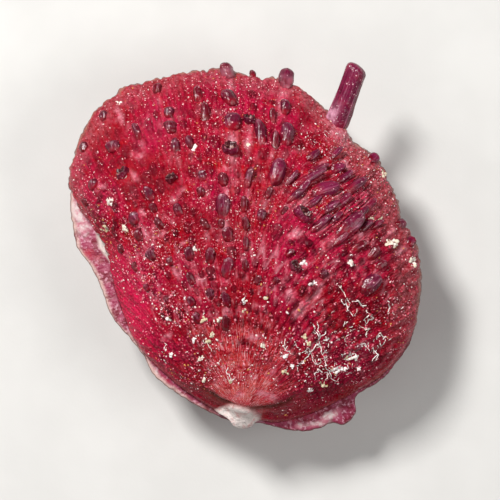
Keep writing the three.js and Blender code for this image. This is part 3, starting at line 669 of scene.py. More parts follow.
def upper_relief(x, y):
    """How far the upper valve's surface stands out from its plain form, and the marks on it."""
    place = Place(x, y)
    label = rib_label(x, y)
    stage = growth(x, y)
    reach = beak_distance(x, y)
    grown = smoothstep(8, 34, reach)
    early = smoothstep(5, 12, reach)
    lumps = layered_noise(x, y, 11, 41, 2)
    grit = layered_noise(x, y, 1.6, 47, 2)
    coarse = layered_noise(x, y, 3.2, 53, 2)
    rim = grainy_rim(x, y, place)
    smooth = flank(place)
    worn = patches(x, y, PALE_PATCHES, 171)
    knob, groove = beak_marks(x, y, coarse)

    ridge = wave(2 * np.pi * label / RIB_STEP) ** 1.4
    riblet = wave(2 * np.pi * label / FINE_STEP + 1.2 * layered_noise(x, y, 5, 55, 2))
    thatch = bell((np.degrees(place.angle) - 30), 24) * smoothstep(0.35, 0.55, place.edge) * (1 - 0.7 * rim)
    climb, pale = growth_rows(x, y, label, stage)
    swell, surround, streak, clear = spine_beds(x, y)
    height, dark, flame = all_buds(x, y, label, stage, reach)
    budded = clear * bud_cover(x, y, place, reach, rim) * (1 - 0.85 * smooth) * (1 - 0.7 * worn)

    apart = np.hypot(x - LONG_SPINE["x"], y - LONG_SPINE["y"] + 1.0)
    total = LONG_SPINE_BED * bell(apart, 4.4) * smoothstep(1.0, 0.95, place.edge)
    total += (EARLY_RIB * early + GROWN_RIB * grown) * ridge
    total += (RIBLET + THATCH_RIBLET * thatch) * riblet * grown * (1 - 0.5 * rim)
    total += climb * grown + swell * smoothstep(0.99, 0.93, place.edge) + height * budded
    total += LUMP * lumps + GRIT * grit + COARSE * coarse - FLAME_DROP * flame * budded * (1 - dark)
    total += rim * (RIM_GRIT * grit + RIM_LUMP * layered_noise(x, y, 2.2, 67, 2))
    total = total * (1 - 0.55 * smoothstep(0.97, 1, place.edge)) - SKIN_DROP
    total = total * (1 - 0.75 * knob) - GROOVE_DROP * groove * (1 - knob)

    upward = smoothstep(-10, 10, y + 0.4 * x)
    pale = np.maximum(0.55 * pale * grown * (1 - rim) * (1 - smooth), streak)
    marks = dict(
        label=label,
        reach=reach,
        riblet=riblet * grown,
        rim=rim,
        groove=groove * (1 - knob),
        knob=knob,
        bud=dark * budded,
        flame=np.maximum(flame * budded, 0.75 * surround),
        thatch=thatch,
        pale=np.maximum(pale, worn * (0.7 + 0.3 * ridge)),
        umbo=smoothstep(0.33, 0.10, stage + 0.10 * coarse),
        fringe=smoothstep(0.978, 0.992, place.edge) * (0.15 + 0.85 * upward),
        # dim: painted shade that darkens the lower right, the side turned away from the key light.
        dim=smoothstep(38, 72, x - y),
        smooth=smooth,
    )
    return total, marks


def upper_surface(x, y):
    """Points of the finished outer face of the upper valve, and the marks on them."""
    height, marks = upper_relief(x, y)
    points = np.stack([x, y, upper_face(x, y)], -1) + surface_normals(upper_face, x, y) * height[..., None]
    return below_top(points), marks


def disk_grid(cells):
    """A square grid bent to a round one: the part of the way to the edge, and the direction."""
    line = np.linspace(-1, 1, cells + 1)
    across, along = np.meshgrid(line, line, indexing="ij")
    part = np.maximum(np.abs(across), np.abs(along))
    wide = np.abs(across) > np.abs(along)
    first = np.pi / 4 * along / np.where(wide, across, 1)
    second = np.pi / 2 - np.pi / 4 * across / np.where(wide, 1, np.where(along == 0, 1, along))
    angle = np.where(wide, first + np.where(across < 0, np.pi, 0), second + np.where(along < 0, np.pi, 0))
    angle = np.where(part == 0, 0, angle)
    return part, (angle + np.pi) % (2 * np.pi) - np.pi


def grid_rim(cells):
    """The grid's outermost points in order, anticlockwise."""
    size = cells + 1
    index = np.arange(size * size).reshape(size, size)
    return np.concatenate([index[:-1, 0], index[-1, :-1], index[:0:-1, -1], index[0, :0:-1]])


def ragged_edge(angle, radius):
    """How far the broken margin of the upper valve falls short of its outline."""
    x = radius * np.cos(angle)
    y = radius * np.sin(angle)
    teeth = value_noise(x / 0.9, y / 0.9, 201) ** 2
    bites = value_noise(x / 2.6, y / 2.6, 203) ** 2
    upward = smoothstep(-0.6, 0.2, np.sin(angle))
    return (0.12 + 0.88 * upward) * (0.9 * teeth + 0.9 * bites)


# The rings of the upper valve's inside, as shares of the way from the centre to the edge.
UNDER_SHARES = (1.0, 0.985, 0.94, CAVITY_EDGE, 0.72, 0.5, 0.25, 0.02)


def upper_valve():
    """The upper valve: its outer face as a bent grid, and rings from the edge in over the inside."""
    part, angle = disk_grid(UPPER_GRID)
    outline = look_up(UPPER_RADIUS, angle)
    radius = part * outline - ragged_edge(angle, outline) * smoothstep(0.9, 1, part)
    x, y = polar(radius.ravel(), angle.ravel())
    top, marks = upper_surface(x, y)
    size = UPPER_GRID + 1
    index = np.arange(size * size).reshape(size, size)
    faces = [np.stack([index[:-1, :-1], index[1:, :-1], index[1:, 1:], index[:-1, 1:]], -1).reshape(-1, 4)]
    rim = grid_rim(UPPER_GRID)
    points = [top]
    ring = rim
    count = len(top)
    for share in UNDER_SHARES:
        ring_x, ring_y = toward(share, x[rim], y[rim])
        lift = 0.25 if share == 1.0 else 0.0
        points.append(np.stack([ring_x, ring_y, upper_inside(ring_x, ring_y) + lift], -1))
        new_ring = count + np.arange(len(rim))
        count += len(rim)
        faces.append(np.stack([ring, new_ring, np.roll(new_ring, -1), np.roll(ring, -1)], -1))
        ring = new_ring
    middle_x, middle_y = np.array(CENTRE)[:, None]
    points.append(np.stack([middle_x, middle_y, upper_inside(middle_x, middle_y)], -1))
    points = np.concatenate(points)
    added = len(points) - len(top)
    values = {key: np.concatenate([value, np.zeros(added)]) for key, value in marks.items()}
    values["under"] = np.concatenate([np.zeros(len(top) + 2 * len(rim)), np.ones(added - 2 * len(rim))])
    quads = np.concatenate(faces)
    triangles = np.stack([ring, np.full(len(ring), count), np.roll(ring, -1)], -1)
    triangles = np.concatenate([quads[:, [0, 1, 2]], quads[:, [0, 2, 3]], triangles])
    return new_mesh("upper_valve_skin", points, triangles, values)


def lofted_faces(ring_count, sides, start):
    """Triangles that join rings of points, close the first ring flat and end the last in a point."""
    faces = []
    turn = np.arange(sides)
    following = (turn + 1) % sides
    for ring in range(ring_count - 1):
        low = start + ring * sides
        high = low + sides
        faces.append(np.stack([low + turn, low + following, high + following], -1))
        faces.append(np.stack([low + turn, high + following, high + turn], -1))
    last = start + (ring_count - 1) * sides
    faces.append(np.stack([last + turn, last + following, np.full(sides, start + ring_count * sides)], -1))
    inner = np.arange(1, sides - 1)
    faces.append(np.stack([np.full(sides - 2, start), start + inner + 1, start + inner], -1))
    return np.concatenate(faces)


# The marks on every spine.
SPINE_KEYS = ("way", "wear", "face_up", "girth", "number", "shade", "pale_foot")


class Gathered:
    """Collects many small closed forms and makes one mesh of them."""

    def __init__(self, *keys):
        self.points = []
        self.faces = []
        self.values = {key: [] for key in keys}
        self.count = 0

    def add(self, points, faces, **values):
        """Adds one form, with a value for each point or one for all."""
        self.points.append(below_top(points))
        self.faces.append(faces + self.count)
        for key, value in values.items():
            self.values[key].append(np.broadcast_to(value, (len(points),)))
        self.count += len(points)

    def add_loft(self, rings, tip, axes, **values):
        """Adds rings of points that end in one point, with their faces turned outward."""
        side, over, along = axes
        faces = lofted_faces(len(rings), len(rings[0]), 0)
        if np.dot(np.cross(side, over), along) < 0:
            faces = faces[:, ::-1]
        self.add(np.concatenate(rings + [tip[None]]), faces, **values)

    def build(self, name):
        """Makes the mesh object."""
        values = {key: np.concatenate(value) for key, value in self.values.items()}
        return new_mesh(name, np.concatenate(self.points), np.concatenate(self.faces), values)


# The parts of the way up a spine at which it has a ring of points.
SPINE_PARTS = (
    -0.27, -0.22, -0.15, -0.06, 0.04, 0.16, 0.28, 0.40,
    0.52, 0.63, 0.73, 0.82, 0.89, 0.94, 0.975, 0.995,
)

# The rings inside a broken spine: the part of the way up, and the width beside the spine's own.
HOLLOW_RINGS = ((0.93, 0.84), (0.80, 0.66), (0.60, 0.50), (0.42, 0.28))
HOLLOW_FLOOR = 0.38


def shank_width(part, blunt):
    """The half width of a spine along its length: a round back, a long shank and a worn tip."""
    back = math.sqrt(max(0.0, 1 - max(0.0, (0.20 - part) / 0.48) ** 2))
    return back * math.sqrt(max(0.0, 1 - max(0.0, (part - 0.58) / 0.42) ** blunt))


def add_spine(field, root, direction, form, seed, pale=0.0, purple=0.5):
    """One spine of a length, width and breakage, as rings of points round a bent axis."""
    length, width, broken = form
    rng = np.random.default_rng(seed)
    along = direction / np.linalg.norm(direction)
    side = np.array([-along[1], along[0], 0.0])
    side /= np.linalg.norm(side)
    over = np.cross(side, along)
    over = -over if over[2] < 0 else over
    turn = np.arange(SPINE_SIDES) / SPINE_SIDES * 2 * np.pi
    phase = rng.random(4) * 2 * np.pi
    sway = rng.normal(0, 0.08)
    bend = rng.uniform(-0.02, 0.06)
    flat = rng.uniform(0.60, 0.80)
    blunt = rng.uniform(1.8, 2.6)
    taper = rng.uniform(-0.05, 0.30)
    hollow = broken > HOLLOW_FROM
    jagged = rng.normal(0, 0.13, SPINE_SIDES).clip(-0.25, 0.25) * hollow
    rings = []
    parts = []

    def centre(part):
        return root + along * (part * length) + (over * bend + side * sway) * length * max(part, 0.0) ** 2

    def add_ring(part, half):
        uneven = 1 + 0.11 * np.cos(2 * turn + phase[0] + 2 * part)
        uneven = uneven + 0.08 * np.cos(4 * turn + phase[1] - 3 * part)
        uneven += 0.05 * np.cos(8 * turn + phase[2] + part) + 0.025 * np.cos(13 * part + phase[3] + turn)
        uneven += rng.normal(0, 0.012, SPINE_SIDES) + jagged * smoothstep(0.3, 0.6, part)
        ring = centre(part) + np.outer(half * uneven * np.cos(turn), side)
        ring += np.outer(1.1 * half * jagged * smoothstep(0.5, 0.9, part), along)
        ring += np.outer(flat * half * uneven * np.sin(turn), over)
        rings.append(ring)
        parts.append(part)

    for part in SPINE_PARTS:
        if hollow and part > 0.90:
            break
        shank = shank_width(part, blunt) * (1 - taper * (part - 0.3))
        add_ring(part, 0.5 * width * (max(shank, 0.95) if hollow and part > 0.5 else shank))
    outside = len(rings)
    for part, share in HOLLOW_RINGS if hollow else ():
        add_ring(part, 0.5 * width * share)
    last = HOLLOW_FLOOR if hollow else 1.0
    worn = np.arange(len(rings)) >= outside
    field.add_loft(
        rings,
        centre(last),
        (side, over, along),
        way=np.append(np.repeat(np.clip(parts, 0, 1), SPINE_SIDES), last),
        wear=np.append(np.repeat(worn, SPINE_SIDES), hollow),
        face_up=np.append(np.tile(0.5 + 0.5 * np.sin(turn), len(rings)), 0.5),
        # The upper side of each ring, which the material paints with a highlight.
        girth=np.append(np.tile(2 * np.cos(turn), len(rings)), 0.0),
        number=float(seed),
        shade=np.clip(0.30 * rng.random() + 0.12 * (width - 2.2) + 0.6 * purple, 0, 1),
        pale_foot=pale,
    )


def upper_spines():
    """The spines of the list, each with its foot on the upper valve and leaning along its rib."""
    field = Gathered(*SPINE_KEYS)
    middle_x, middle_y, width, reach, broken = np.array(SPINES, float).T
    rng = np.random.default_rng(500)
    turn = rng.normal(0, 0.10, len(SPINES))
    level = turned(*SPINE_HEADINGS.T, turn)
    hollow = broken > HOLLOW_FROM
    foot_x = middle_x - np.where(hollow, 0.1, 0.42) * reach * level[:, 0]
    foot_y = middle_y - np.where(hollow, 0.1, 0.42) * reach * level[:, 1]
    roots = upper_surface(foot_x, foot_y)[0]
    normals = surface_normals(upper_face, foot_x, foot_y)
    tilt = np.radians(np.where(hollow, 62, np.where(reach > 4.4, 12, 20)))
    thatch = bell(np.degrees(np.arctan2(middle_y, middle_x)) - 36, 26)
    thatch *= smoothstep(12, 22, np.hypot(middle_x, middle_y))
    for number in range(len(SPINES)):
        flat = np.array([level[number, 0], level[number, 1], 0.0])
        flat -= normals[number] * flat.dot(normals[number])
        flat /= np.linalg.norm(flat)
        direction = flat * math.cos(tilt[number]) + normals[number] * math.sin(tilt[number])
        length = 0.95 * reach[number] / max(0.45, float(np.hypot(direction[0], direction[1])))
        depth = 0.10 * width[number]
        if hollow[number]:
            length = 0.62 * width[number]
        root = roots[number] - depth * normals[number]
        pale = STUB_WEAR if number < TOP_STUBS else 0.0
        form = (length, width[number], broken[number])
        add_spine(field, root, direction, form, number, pale, thatch[number])
    return field


# The long spine's points in each ring, and its steps from foot to tip.
LONG_SIDES = 40
LONG_STEPS = 46


def long_spine_ring(part, turn):
    """The long spine's half width in each direction at one ring, and how far the ring slants down."""
    blunt = math.sqrt(max(0.0, 1 - max(0.0, (part - 0.86) / 0.14) ** 3))
    back = math.sqrt(max(0.0, 1 - max(0.0, (0.10 - part) / 0.28) ** 2))
    waist = 0.92 + 0.12 * math.exp(-max(part, 0) / 0.2) - 0.06 * part
    half = 0.5 * LONG_SPINE["width"] * waist * blunt * back
    furrow = 0.045 * np.cos(4 * turn + 0.8) + 0.03 * np.cos(9 * turn + 1.5 * part)
    furrow += 0.05 * layered_noise(3 * np.cos(turn) + 50, 3 * np.sin(turn) + 9 * part, 1.2, 211, 3)
    gutter = -0.07 * bell(np.degrees(turn) - 75 - 20 * part, 16) * smoothstep(0.3, 0.6, part)
    slant = 0.7 * smoothstep(0.70, 1.0, part) * np.cos(turn) * blunt
    return half * (1 + furrow + gutter), slant


def long_edge_spine(field):
    """The long spine on the edge: nearly straight sided, furrowed, with a blunt slanting tip."""
    x = np.array([LONG_SPINE["x"]])
    y = np.array([LONG_SPINE["y"]])
    root = np.array([x[0], y[0], float(upper_face(x, y)[0]) - 0.1])
    heading = math.radians(LONG_SPINE["heading"])
    reach = LONG_SPINE["reach"]
    along = np.array([reach * math.sin(heading), reach * math.cos(heading), LONG_SPINE["rise"]])
    length = float(np.linalg.norm(along))
    along /= length
    side = np.array([along[1], -along[0], 0.0])
    side /= np.linalg.norm(side)
    over = np.cross(side, along)
    turn = np.arange(LONG_SIDES) / LONG_SIDES * 2 * np.pi
    rings = []
    parts = []
    for step in range(LONG_STEPS + 1):
        part = -0.16 + 1.158 * math.sin(0.5 * math.pi * step / LONG_STEPS)
        outline, slant = long_spine_ring(part, turn)
        middle = root + along * (part * length)
        ring = middle + np.outer(outline * np.cos(turn), side)
        ring += np.outer(0.86 * outline * np.sin(turn), over)
        rings.append(ring + np.outer(-slant, along))
        parts.append(part)
    place = np.tile(turn, len(rings))
    way = np.repeat(parts, LONG_SIDES)
    edge_wear = smoothstep(0.93, 0.99, way) * 0.75
    left = smoothstep(-0.1, 0.8, -np.cos(place)) * bell(way - 0.16, 0.16)
    field.add_loft(
        rings,
        rings[-1].mean(0),
        (side, over, along),
        way=0.3 + 0.5 * np.append(way, 1.0),
        wear=0.0,
        # The upper left side, which the material paints with a highlight.
        face_up=np.append(0.5 + 0.5 * np.sin(place - 0.5), 0.5),
        girth=np.append(2 * np.cos(place), 0.0),
        number=3.0,
        shade=0.75,
        pale_foot=np.append(np.maximum(edge_wear, left), 0.7),
    )


# The corners and faces of a regular body with twenty faces.
GOLDEN = (1 + math.sqrt(5)) / 2
TWENTY_CORNERS = np.array([
    (-1, GOLDEN, 0), (1, GOLDEN, 0), (-1, -GOLDEN, 0), (1, -GOLDEN, 0), (0, -1, GOLDEN), (0, 1, GOLDEN),
    (0, -1, -GOLDEN), (0, 1, -GOLDEN), (GOLDEN, 0, -1), (GOLDEN, 0, 1), (-GOLDEN, 0, -1), (-GOLDEN, 0, 1),
]) / math.sqrt(1 + GOLDEN ** 2)
TWENTY_FACES = np.array([
    (0, 11, 5), (0, 5, 1), (0, 1, 7), (0, 7, 10), (0, 10, 11), (1, 5, 9), (5, 11, 4), (11, 10, 2),
    (10, 7, 6), (7, 1, 8), (3, 9, 4), (3, 4, 2), (3, 2, 6), (3, 6, 8), (3, 8, 9), (4, 9, 5), (2, 4, 11),
    (6, 2, 10), (8, 6, 7), (9, 8, 1),
])


def finer(corners, faces):
    """The same round body with each face parted in four."""
    corners = [tuple(corner) for corner in corners]
    middles = {}
    parted = []

    def middle(first, second):
        key = (min(first, second), max(first, second))
        if key not in middles:
            point = np.array(corners[first]) + np.array(corners[second])
            middles[key] = len(corners)
            corners.append(tuple(point / np.linalg.norm(point)))
        return middles[key]

    for first, second, third in faces:
        low, high, back = middle(first, second), middle(second, third), middle(third, first)
        parted += [(first, low, back), (low, second, high), (back, high, third), (low, high, back)]
    return np.array(corners), np.array(parted)


FINE_CORNERS, FINE_FACES = finer(TWENTY_CORNERS, TWENTY_FACES)


def grains():
    """Sand grains and broken scale tips that stick to the upper valve."""
    rng = np.random.default_rng(301)
    field = Gathered("tone")
    angle = rng.uniform(-np.pi, np.pi, 3 * GRAIN_COUNT)
    part = np.sqrt(rng.random(3 * GRAIN_COUNT))
    x, y = polar(0.975 * part * look_up(UPPER_RADIUS, angle), angle)
    crowd = 0.25 + 0.75 * smoothstep(0.3, 0.75, value_noise(x / 9, y / 9, 303))
    crowd *= 1 - 0.8 * smoothstep(13, 6, beak_distance(x, y))
    crowd *= (1 - 0.75 * flank(Place(x, y))) * (1 - 0.6 * smoothstep(-34, -40, y))
    kept = np.flatnonzero(rng.random(3 * GRAIN_COUNT) < crowd)[:GRAIN_COUNT]
    x = x[kept]
    y = y[kept]
    places = upper_surface(x, y)[0]
    size = 0.075 + 0.13 * rng.random(len(x)) ** 2.6
    size *= 1 + 0.4 * smoothstep(5, -15, y) * smoothstep(-40, -30, y)
    tone = rng.random(len(x))
    for number in range(len(x)):
        shape = TWENTY_CORNERS * (size[number] * (1 + 0.50 * rng.normal(0, 0.6, (12, 1)).clip(-1, 1)))
        stretch = rng.uniform(0.8, 2.0)
        spin = rng.uniform(0, np.pi)
        level = turned(stretch * shape[:, 0], shape[:, 1], spin)
        grain = np.concatenate([level, 0.8 * shape[:, 2:]], -1)
        field.add(places[number] + grain + (0, 0, 0.3 * size[number]), TWENTY_FACES, tone=tone[number])
    return field


def tube_path(route, rng):
    """Points along a wandering line through a route, 0.3 mm apart."""
    route = np.array(route, float)
    steps = np.hypot(*np.diff(route, axis=0).T)
    travel = np.concatenate([[0], np.cumsum(steps)])
    count = max(6, int(travel[-1] / 0.3))
    wanted = np.linspace(0, travel[-1], count)
    path = np.stack([np.interp(wanted, travel, route[:, 0]), np.interp(wanted, travel, route[:, 1])], -1)
    wander = rng.normal(0, 1, (count, 2))
    kernel = np.array([0.1, 0.2, 0.4, 0.2, 0.1])
    for axis in range(2):
        path[:, axis] += 0.42 * np.convolve(wander[:, axis], kernel, "same")
    return path


# How many points each ring of a worm tube has.
TUBE_SIDES = 7


def add_tube(field, route, radius, rng):
    """One worm tube as rings of points along its route on the shell."""
    path = tube_path(route, rng)
    places = upper_surface(path[:, 0], path[:, 1])[0]
    places[:, 2] += 0.35 * radius
    ahead = np.gradient(places, axis=0)
    ahead /= np.linalg.norm(ahead, axis=1, keepdims=True)
    side = np.cross(ahead, [0.0, 0.0, 1.0])
    side /= np.linalg.norm(side, axis=1, keepdims=True)
    over = np.cross(side, ahead)
    turn = np.arange(TUBE_SIDES) / TUBE_SIDES * 2 * np.pi
    rings = []
    for number in range(len(path)):
        end = min(number, len(path) - 1 - number)
        half = radius * (0.75 + 0.25 * min(end / 3, 1)) * rng.uniform(0.85, 1.25)
        ring = np.outer(np.cos(turn), side[number]) + np.outer(np.sin(turn), over[number])
        rings.append(places[number] + half * ring)
    tip = places[-1] + 0.3 * radius * ahead[-1]
    field.add_loft(rings, tip, (side[0], over[0], ahead[0]), tone=rng.uniform(0.0, 0.5))


def branch(point, shortest, longest, rng):
    """A short straight route from a point, in any direction."""
    heading = rng.uniform(0, 2 * np.pi)
    reach = rng.uniform(shortest, longest)
    return [point, (point[0] + reach * math.cos(heading), point[1] + reach * math.sin(heading))]


# Where short loose tubes crowd: x, y, how widely they spread, and how many there are.
TUBE_CLUSTERS = ((19, -27, 4.0, 16), (29, -24, 5.5, 26), (25, -32, 3.0, 18))


def worm_tubes():
    """The worm tubes of the list with short branches, and loose bits of tube round them."""
    rng = np.random.default_rng(401)
    field = Gathered("tone")
    for route in WORM_TUBES:
        add_tube(field, route, rng.uniform(0.10, 0.15), rng)
        for point in route:
            if rng.random() < 0.55:
                twig = branch(point, 0.8, 2.0, rng)
                add_tube(field, twig, rng.uniform(0.08, 0.13), rng)
    for middle_x, middle_y, spread, count in TUBE_CLUSTERS:
        for _ in range(count):
            x = middle_x + rng.normal(0, spread * 0.6)
            y = middle_y + rng.normal(0, spread * 0.6)
            add_tube(field, branch((x, y), 0.5, 1.6, rng), 0.10, rng)
    return field


def crusts():
    """Lumps of white and cream growth, each a huddle of small knobbly bodies."""
    rng = np.random.default_rng(451)
    field = Gathered("tone")
    for middle_x, middle_y, across, along in CRUSTS:
        count = int(4 + 2.2 * across * along)
        x = middle_x + 0.22 * across * rng.normal(0, 1, count).clip(-1.8, 1.8)
        y = middle_y + 0.22 * along * rng.normal(0, 1, count).clip(-1.8, 1.8)
        places = upper_surface(x, y)[0]
        tone = rng.uniform(0, 1)
        for place in places:
            size = rng.uniform(0.16, 0.26 + 0.12 * min(across, along)) * np.array([1.0, 1.0, 0.55])
            size[:2] *= rng.uniform(0.7, 1.4, 2)
            rough = 1 + 0.30 * rng.normal(0, 0.7, (len(FINE_CORNERS), 1)).clip(-1, 1)
            shape = FINE_CORNERS * rough * size
            field.add(place + shape, FINE_FACES, tone=0.8 * tone + 0.2 * rng.random())
    return field


# How far things stand out on the lower valve.
FRILL = 1.7
LOWER_RIDGE = 0.6
LOWER_FINE_RIDGE = 0.2
LOWER_GRAIN = 0.3
LOWER_DROP = 0.5


def lower_relief(x, y, turn, part):
    """How far the outer face of the lower valve stands out at one ring, and the marks on it."""
    degrees = np.degrees(turn)
    ring_x = 40 + 22 * np.cos(turn)
    ring_y = 40 + 22 * np.sin(turn)
    ribs = 2 * np.pi * degrees / LOWER_RIB + 1.6 * layered_noise(ring_x, ring_y, 6, 73, 2)
    ridge = wave(ribs) ** 1.5
    fine = wave(2 * np.pi * degrees / LOWER_FINE)
    wander = layered_noise(ring_x, ring_y + 14 * part, 7, 71, 3)
    row = LOWER_ROWS * (part + 0.085 * wander) + 0.06 * np.cos(ribs)
    leaf = row - np.floor(row)
    frill = leaf ** 2.6 * smoothstep(1.0, 0.93, leaf)
    frill *= 0.35 + 0.65 * value_noise(ring_x / 2, ring_y / 2 + 9 * np.floor(row), 77)
    away = smoothstep(0.02, 0.14, part) * (1 - smoothstep(0.93, 1, part))
    grain = layered_noise(x, y + 50 * part, 2.4, 83, 2)
    relief = FRILL * frill * (0.55 + 0.45 * ridge) * away + LOWER_RIDGE * ridge * smoothstep(0.1, 0.3, part)
    relief += LOWER_FINE_RIDGE * fine + LOWER_GRAIN * grain
    relief *= smoothstep(0.0, 0.06, part) * (1 - 0.8 * smoothstep(0.95, 1, part))
    relief -= LOWER_DROP * smoothstep(0.0, 0.06, part)
    drop = bell(leaf - 0.05, 0.09) + bell(leaf - 1.0, 0.04)
    return relief, dict(climb=part, ridge=ridge, drop=drop, leaf=leaf)


def within_edge(x, y, table):
    """Pulls points in plan back to an outline where they pass it."""
    dx = x - CENTRE[0]
    dy = y - CENTRE[1]
    share = np.minimum(1, look_up(table, np.arctan2(dy, dx)) / np.maximum(np.hypot(dx, dy), 1e-6))
    return toward(share, x, y)


def scar_edge(edge_x, edge_y):
    """The places on the scar's edge that face places on the valve's edge."""
    angle = np.arctan2(edge_y - SCAR_CENTRE[1], edge_x - SCAR_CENTRE[0])
    uneven = 1 + 0.05 * np.cos(3 * angle + 1) + 0.04 * np.sin(5 * angle)
    return (
        SCAR_CENTRE[0] + uneven * SCAR_RADIUS[0] * np.cos(angle),
        SCAR_CENTRE[1] + uneven * SCAR_RADIUS[1] * np.sin(angle),
    )


# The rings on the scar, on the lip and on the inside of the lower valve, as shares of the way out.
SCAR_SHARES = (0.05, 0.3, 0.6, 0.85, 0.97)
LIP_SHARES = (1.0, 0.99, 0.978, 0.966, 0.954, 0.942, 0.93, 0.918, 0.90, 0.875)
CUP_SHARES = (CAVITY_EDGE, 0.8, 0.7, 0.55, 0.4, 0.25, 0.1)
# The marks on the lower valve. The edge mark carries a painted shadow line.
LOWER_MARKS = ("scar", "climb", "ridge", "drop", "leaf", "inside", "band", "white", "lip", "edge")


def lip_ring(x, y, turn, share):
    """One ring of the lower valve's lip where it shows past the upper valve, and the marks on it."""
    place = Place(x, y)
    past = smoothstep(-0.2, 0.6, place.radius - place.upper_radius)
    folds = wave(2 * np.pi * np.degrees(turn) / 1.3 + 2.5 * layered_noise(x, y, 3.0, 93, 2))
    crinkle = 0.16 * folds + 0.34 * layered_noise(x, y, 2.0, 91, 3)
    white = patches(x, y, LOWER_PATCHES, 177)
    outermost = share == 1.0
    lift = (-0.35 if outermost else past * crinkle) * (1 - 0.6 * white)
    lip = smoothstep(0.970, 0.992, share + 0.012 * layered_noise(x, y, 4, 95, 2)) * smoothstep(0, -20, x)
    points = np.stack([x, y, lower_inside(x, y) + lift], -1)
    # The outermost lip ring also takes the painted shadow line of the edge mark.
    return points, dict(climb=1.0, band=1.0, ridge=folds, white=white, lip=lip, edge=float(outermost))


def lower_valve():
    """The lower valve as rings of points, from the scar out to the edge and back over the inside."""
    turn = np.arange(LOWER_SPOKES) / LOWER_SPOKES * 2 * np.pi - np.pi
    radius = look_up(LOWER_RADIUS, turn)
    radius = radius - 0.35 * value_noise(radius * np.cos(turn) / 1.1, radius * np.sin(turn) / 1.1, 221)
    edge_x, edge_y = polar(radius, turn)
    scar_x, scar_y = scar_edge(edge_x, edge_y)
    rings = []
    marks = {key: [] for key in LOWER_MARKS}

    def add(points, **values):
        rings.append(points)
        for key, mark in marks.items():
            mark.append(np.broadcast_to(values.get(key, 0.0), (LOWER_SPOKES,)).astype(float))

    for share in SCAR_SHARES:
        x, y = toward(share, scar_x, scar_y, SCAR_CENTRE)
        add(np.stack([x, y, np.zeros_like(x)], -1), scar=1.0)
    for step in range(LOWER_STEPS + 1):
        part = (step / LOWER_STEPS) ** 0.85
        x, y = toward(part, edge_x, edge_y, (scar_x, scar_y))
        relief, values = lower_relief(x, y, turn, part)
        z = lower_outside(x, y, np.full_like(x, part)) - relief * (1 - 0.5 * part)
        z = np.maximum(z, 0.05 * smoothstep(0, 0.03, part))
        push = relief * (0.35 + 0.6 * part) * (1 - smoothstep(0.9, 1, part))
        x, y = within_edge(x + push * np.cos(turn), y + push * np.sin(turn), LOWER_RADIUS)
        # edge: the last turn of the outer face under the margin, which the material paints with a shadow
        # line.
        add(np.stack([x, y, z], -1), edge=smoothstep(0.95, 0.99, part), **values)
    for share in LIP_SHARES:
        points, values = lip_ring(*toward(share, edge_x, edge_y), turn, share)
        add(points, **values)
    for share in CUP_SHARES:
        x, y = toward(share, edge_x, edge_y)
        add(np.stack([x, y, lower_inside(x, y)], -1), inside=1.0)
    middle = np.array([CENTRE[0], CENTRE[1], LOWER_FLOOR])
    foot = np.array([SCAR_CENTRE[0], SCAR_CENTRE[1], 0.0])
    points = np.concatenate([foot[None]] + rings + [middle[None]])
    faces = lofted_faces(len(rings), LOWER_SPOKES, 1)
    fan = np.arange(LOWER_SPOKES)
    cap = np.stack([np.zeros(LOWER_SPOKES, int), 1 + (fan + 1) % LOWER_SPOKES, 1 + fan], -1)
    faces = np.concatenate([faces[:-(LOWER_SPOKES - 2)], cap])
    values = {key: np.concatenate([value[0][:1], *value, value[-1][:1]]) for key, value in marks.items()}
    return new_mesh("lower_valve_skin", points, faces, values)


# How far up the flank each row of the lower valve's spines stands, and the first spine's seed.
LOWER_SPINE_ROWS = (0.30, 0.45, 0.58, 0.70, 0.80)
LOWER_SPINE_SEED = 700


def lower_spines():
    """Short leaning spines on the flank of the lower valve, in rows on every few ribs."""
    field = Gathered(*SPINE_KEYS)
    rng = np.random.default_rng(601)
    number = LOWER_SPINE_SEED
    for row, part in enumerate(LOWER_SPINE_ROWS):
        for degrees in np.arange(-180 + 4 * row, 180, 10):
            if rng.random() < 0.35:
                continue
            turn = np.array([math.radians(degrees + rng.normal(0, 1.5))])
            spot = part + rng.normal(0, 0.02)
            edge_x, edge_y = polar(look_up(LOWER_RADIUS, turn), turn)
            x, y = toward(spot, edge_x, edge_y, scar_edge(edge_x, edge_y))
            z = lower_outside(x, y, np.array([spot]))
            width = rng.uniform(1.3, 2.4)
            direction = np.array([math.cos(turn[0]), math.sin(turn[0]), rng.uniform(-0.35, 0.10)])
            root = np.array([x[0], y[0], z[0]])
            form = (rng.uniform(1.6, 3.4), width, 0.2)
            add_spine(field, root, direction, form, number, 0.35 * rng.random())
            number += 1
    return field


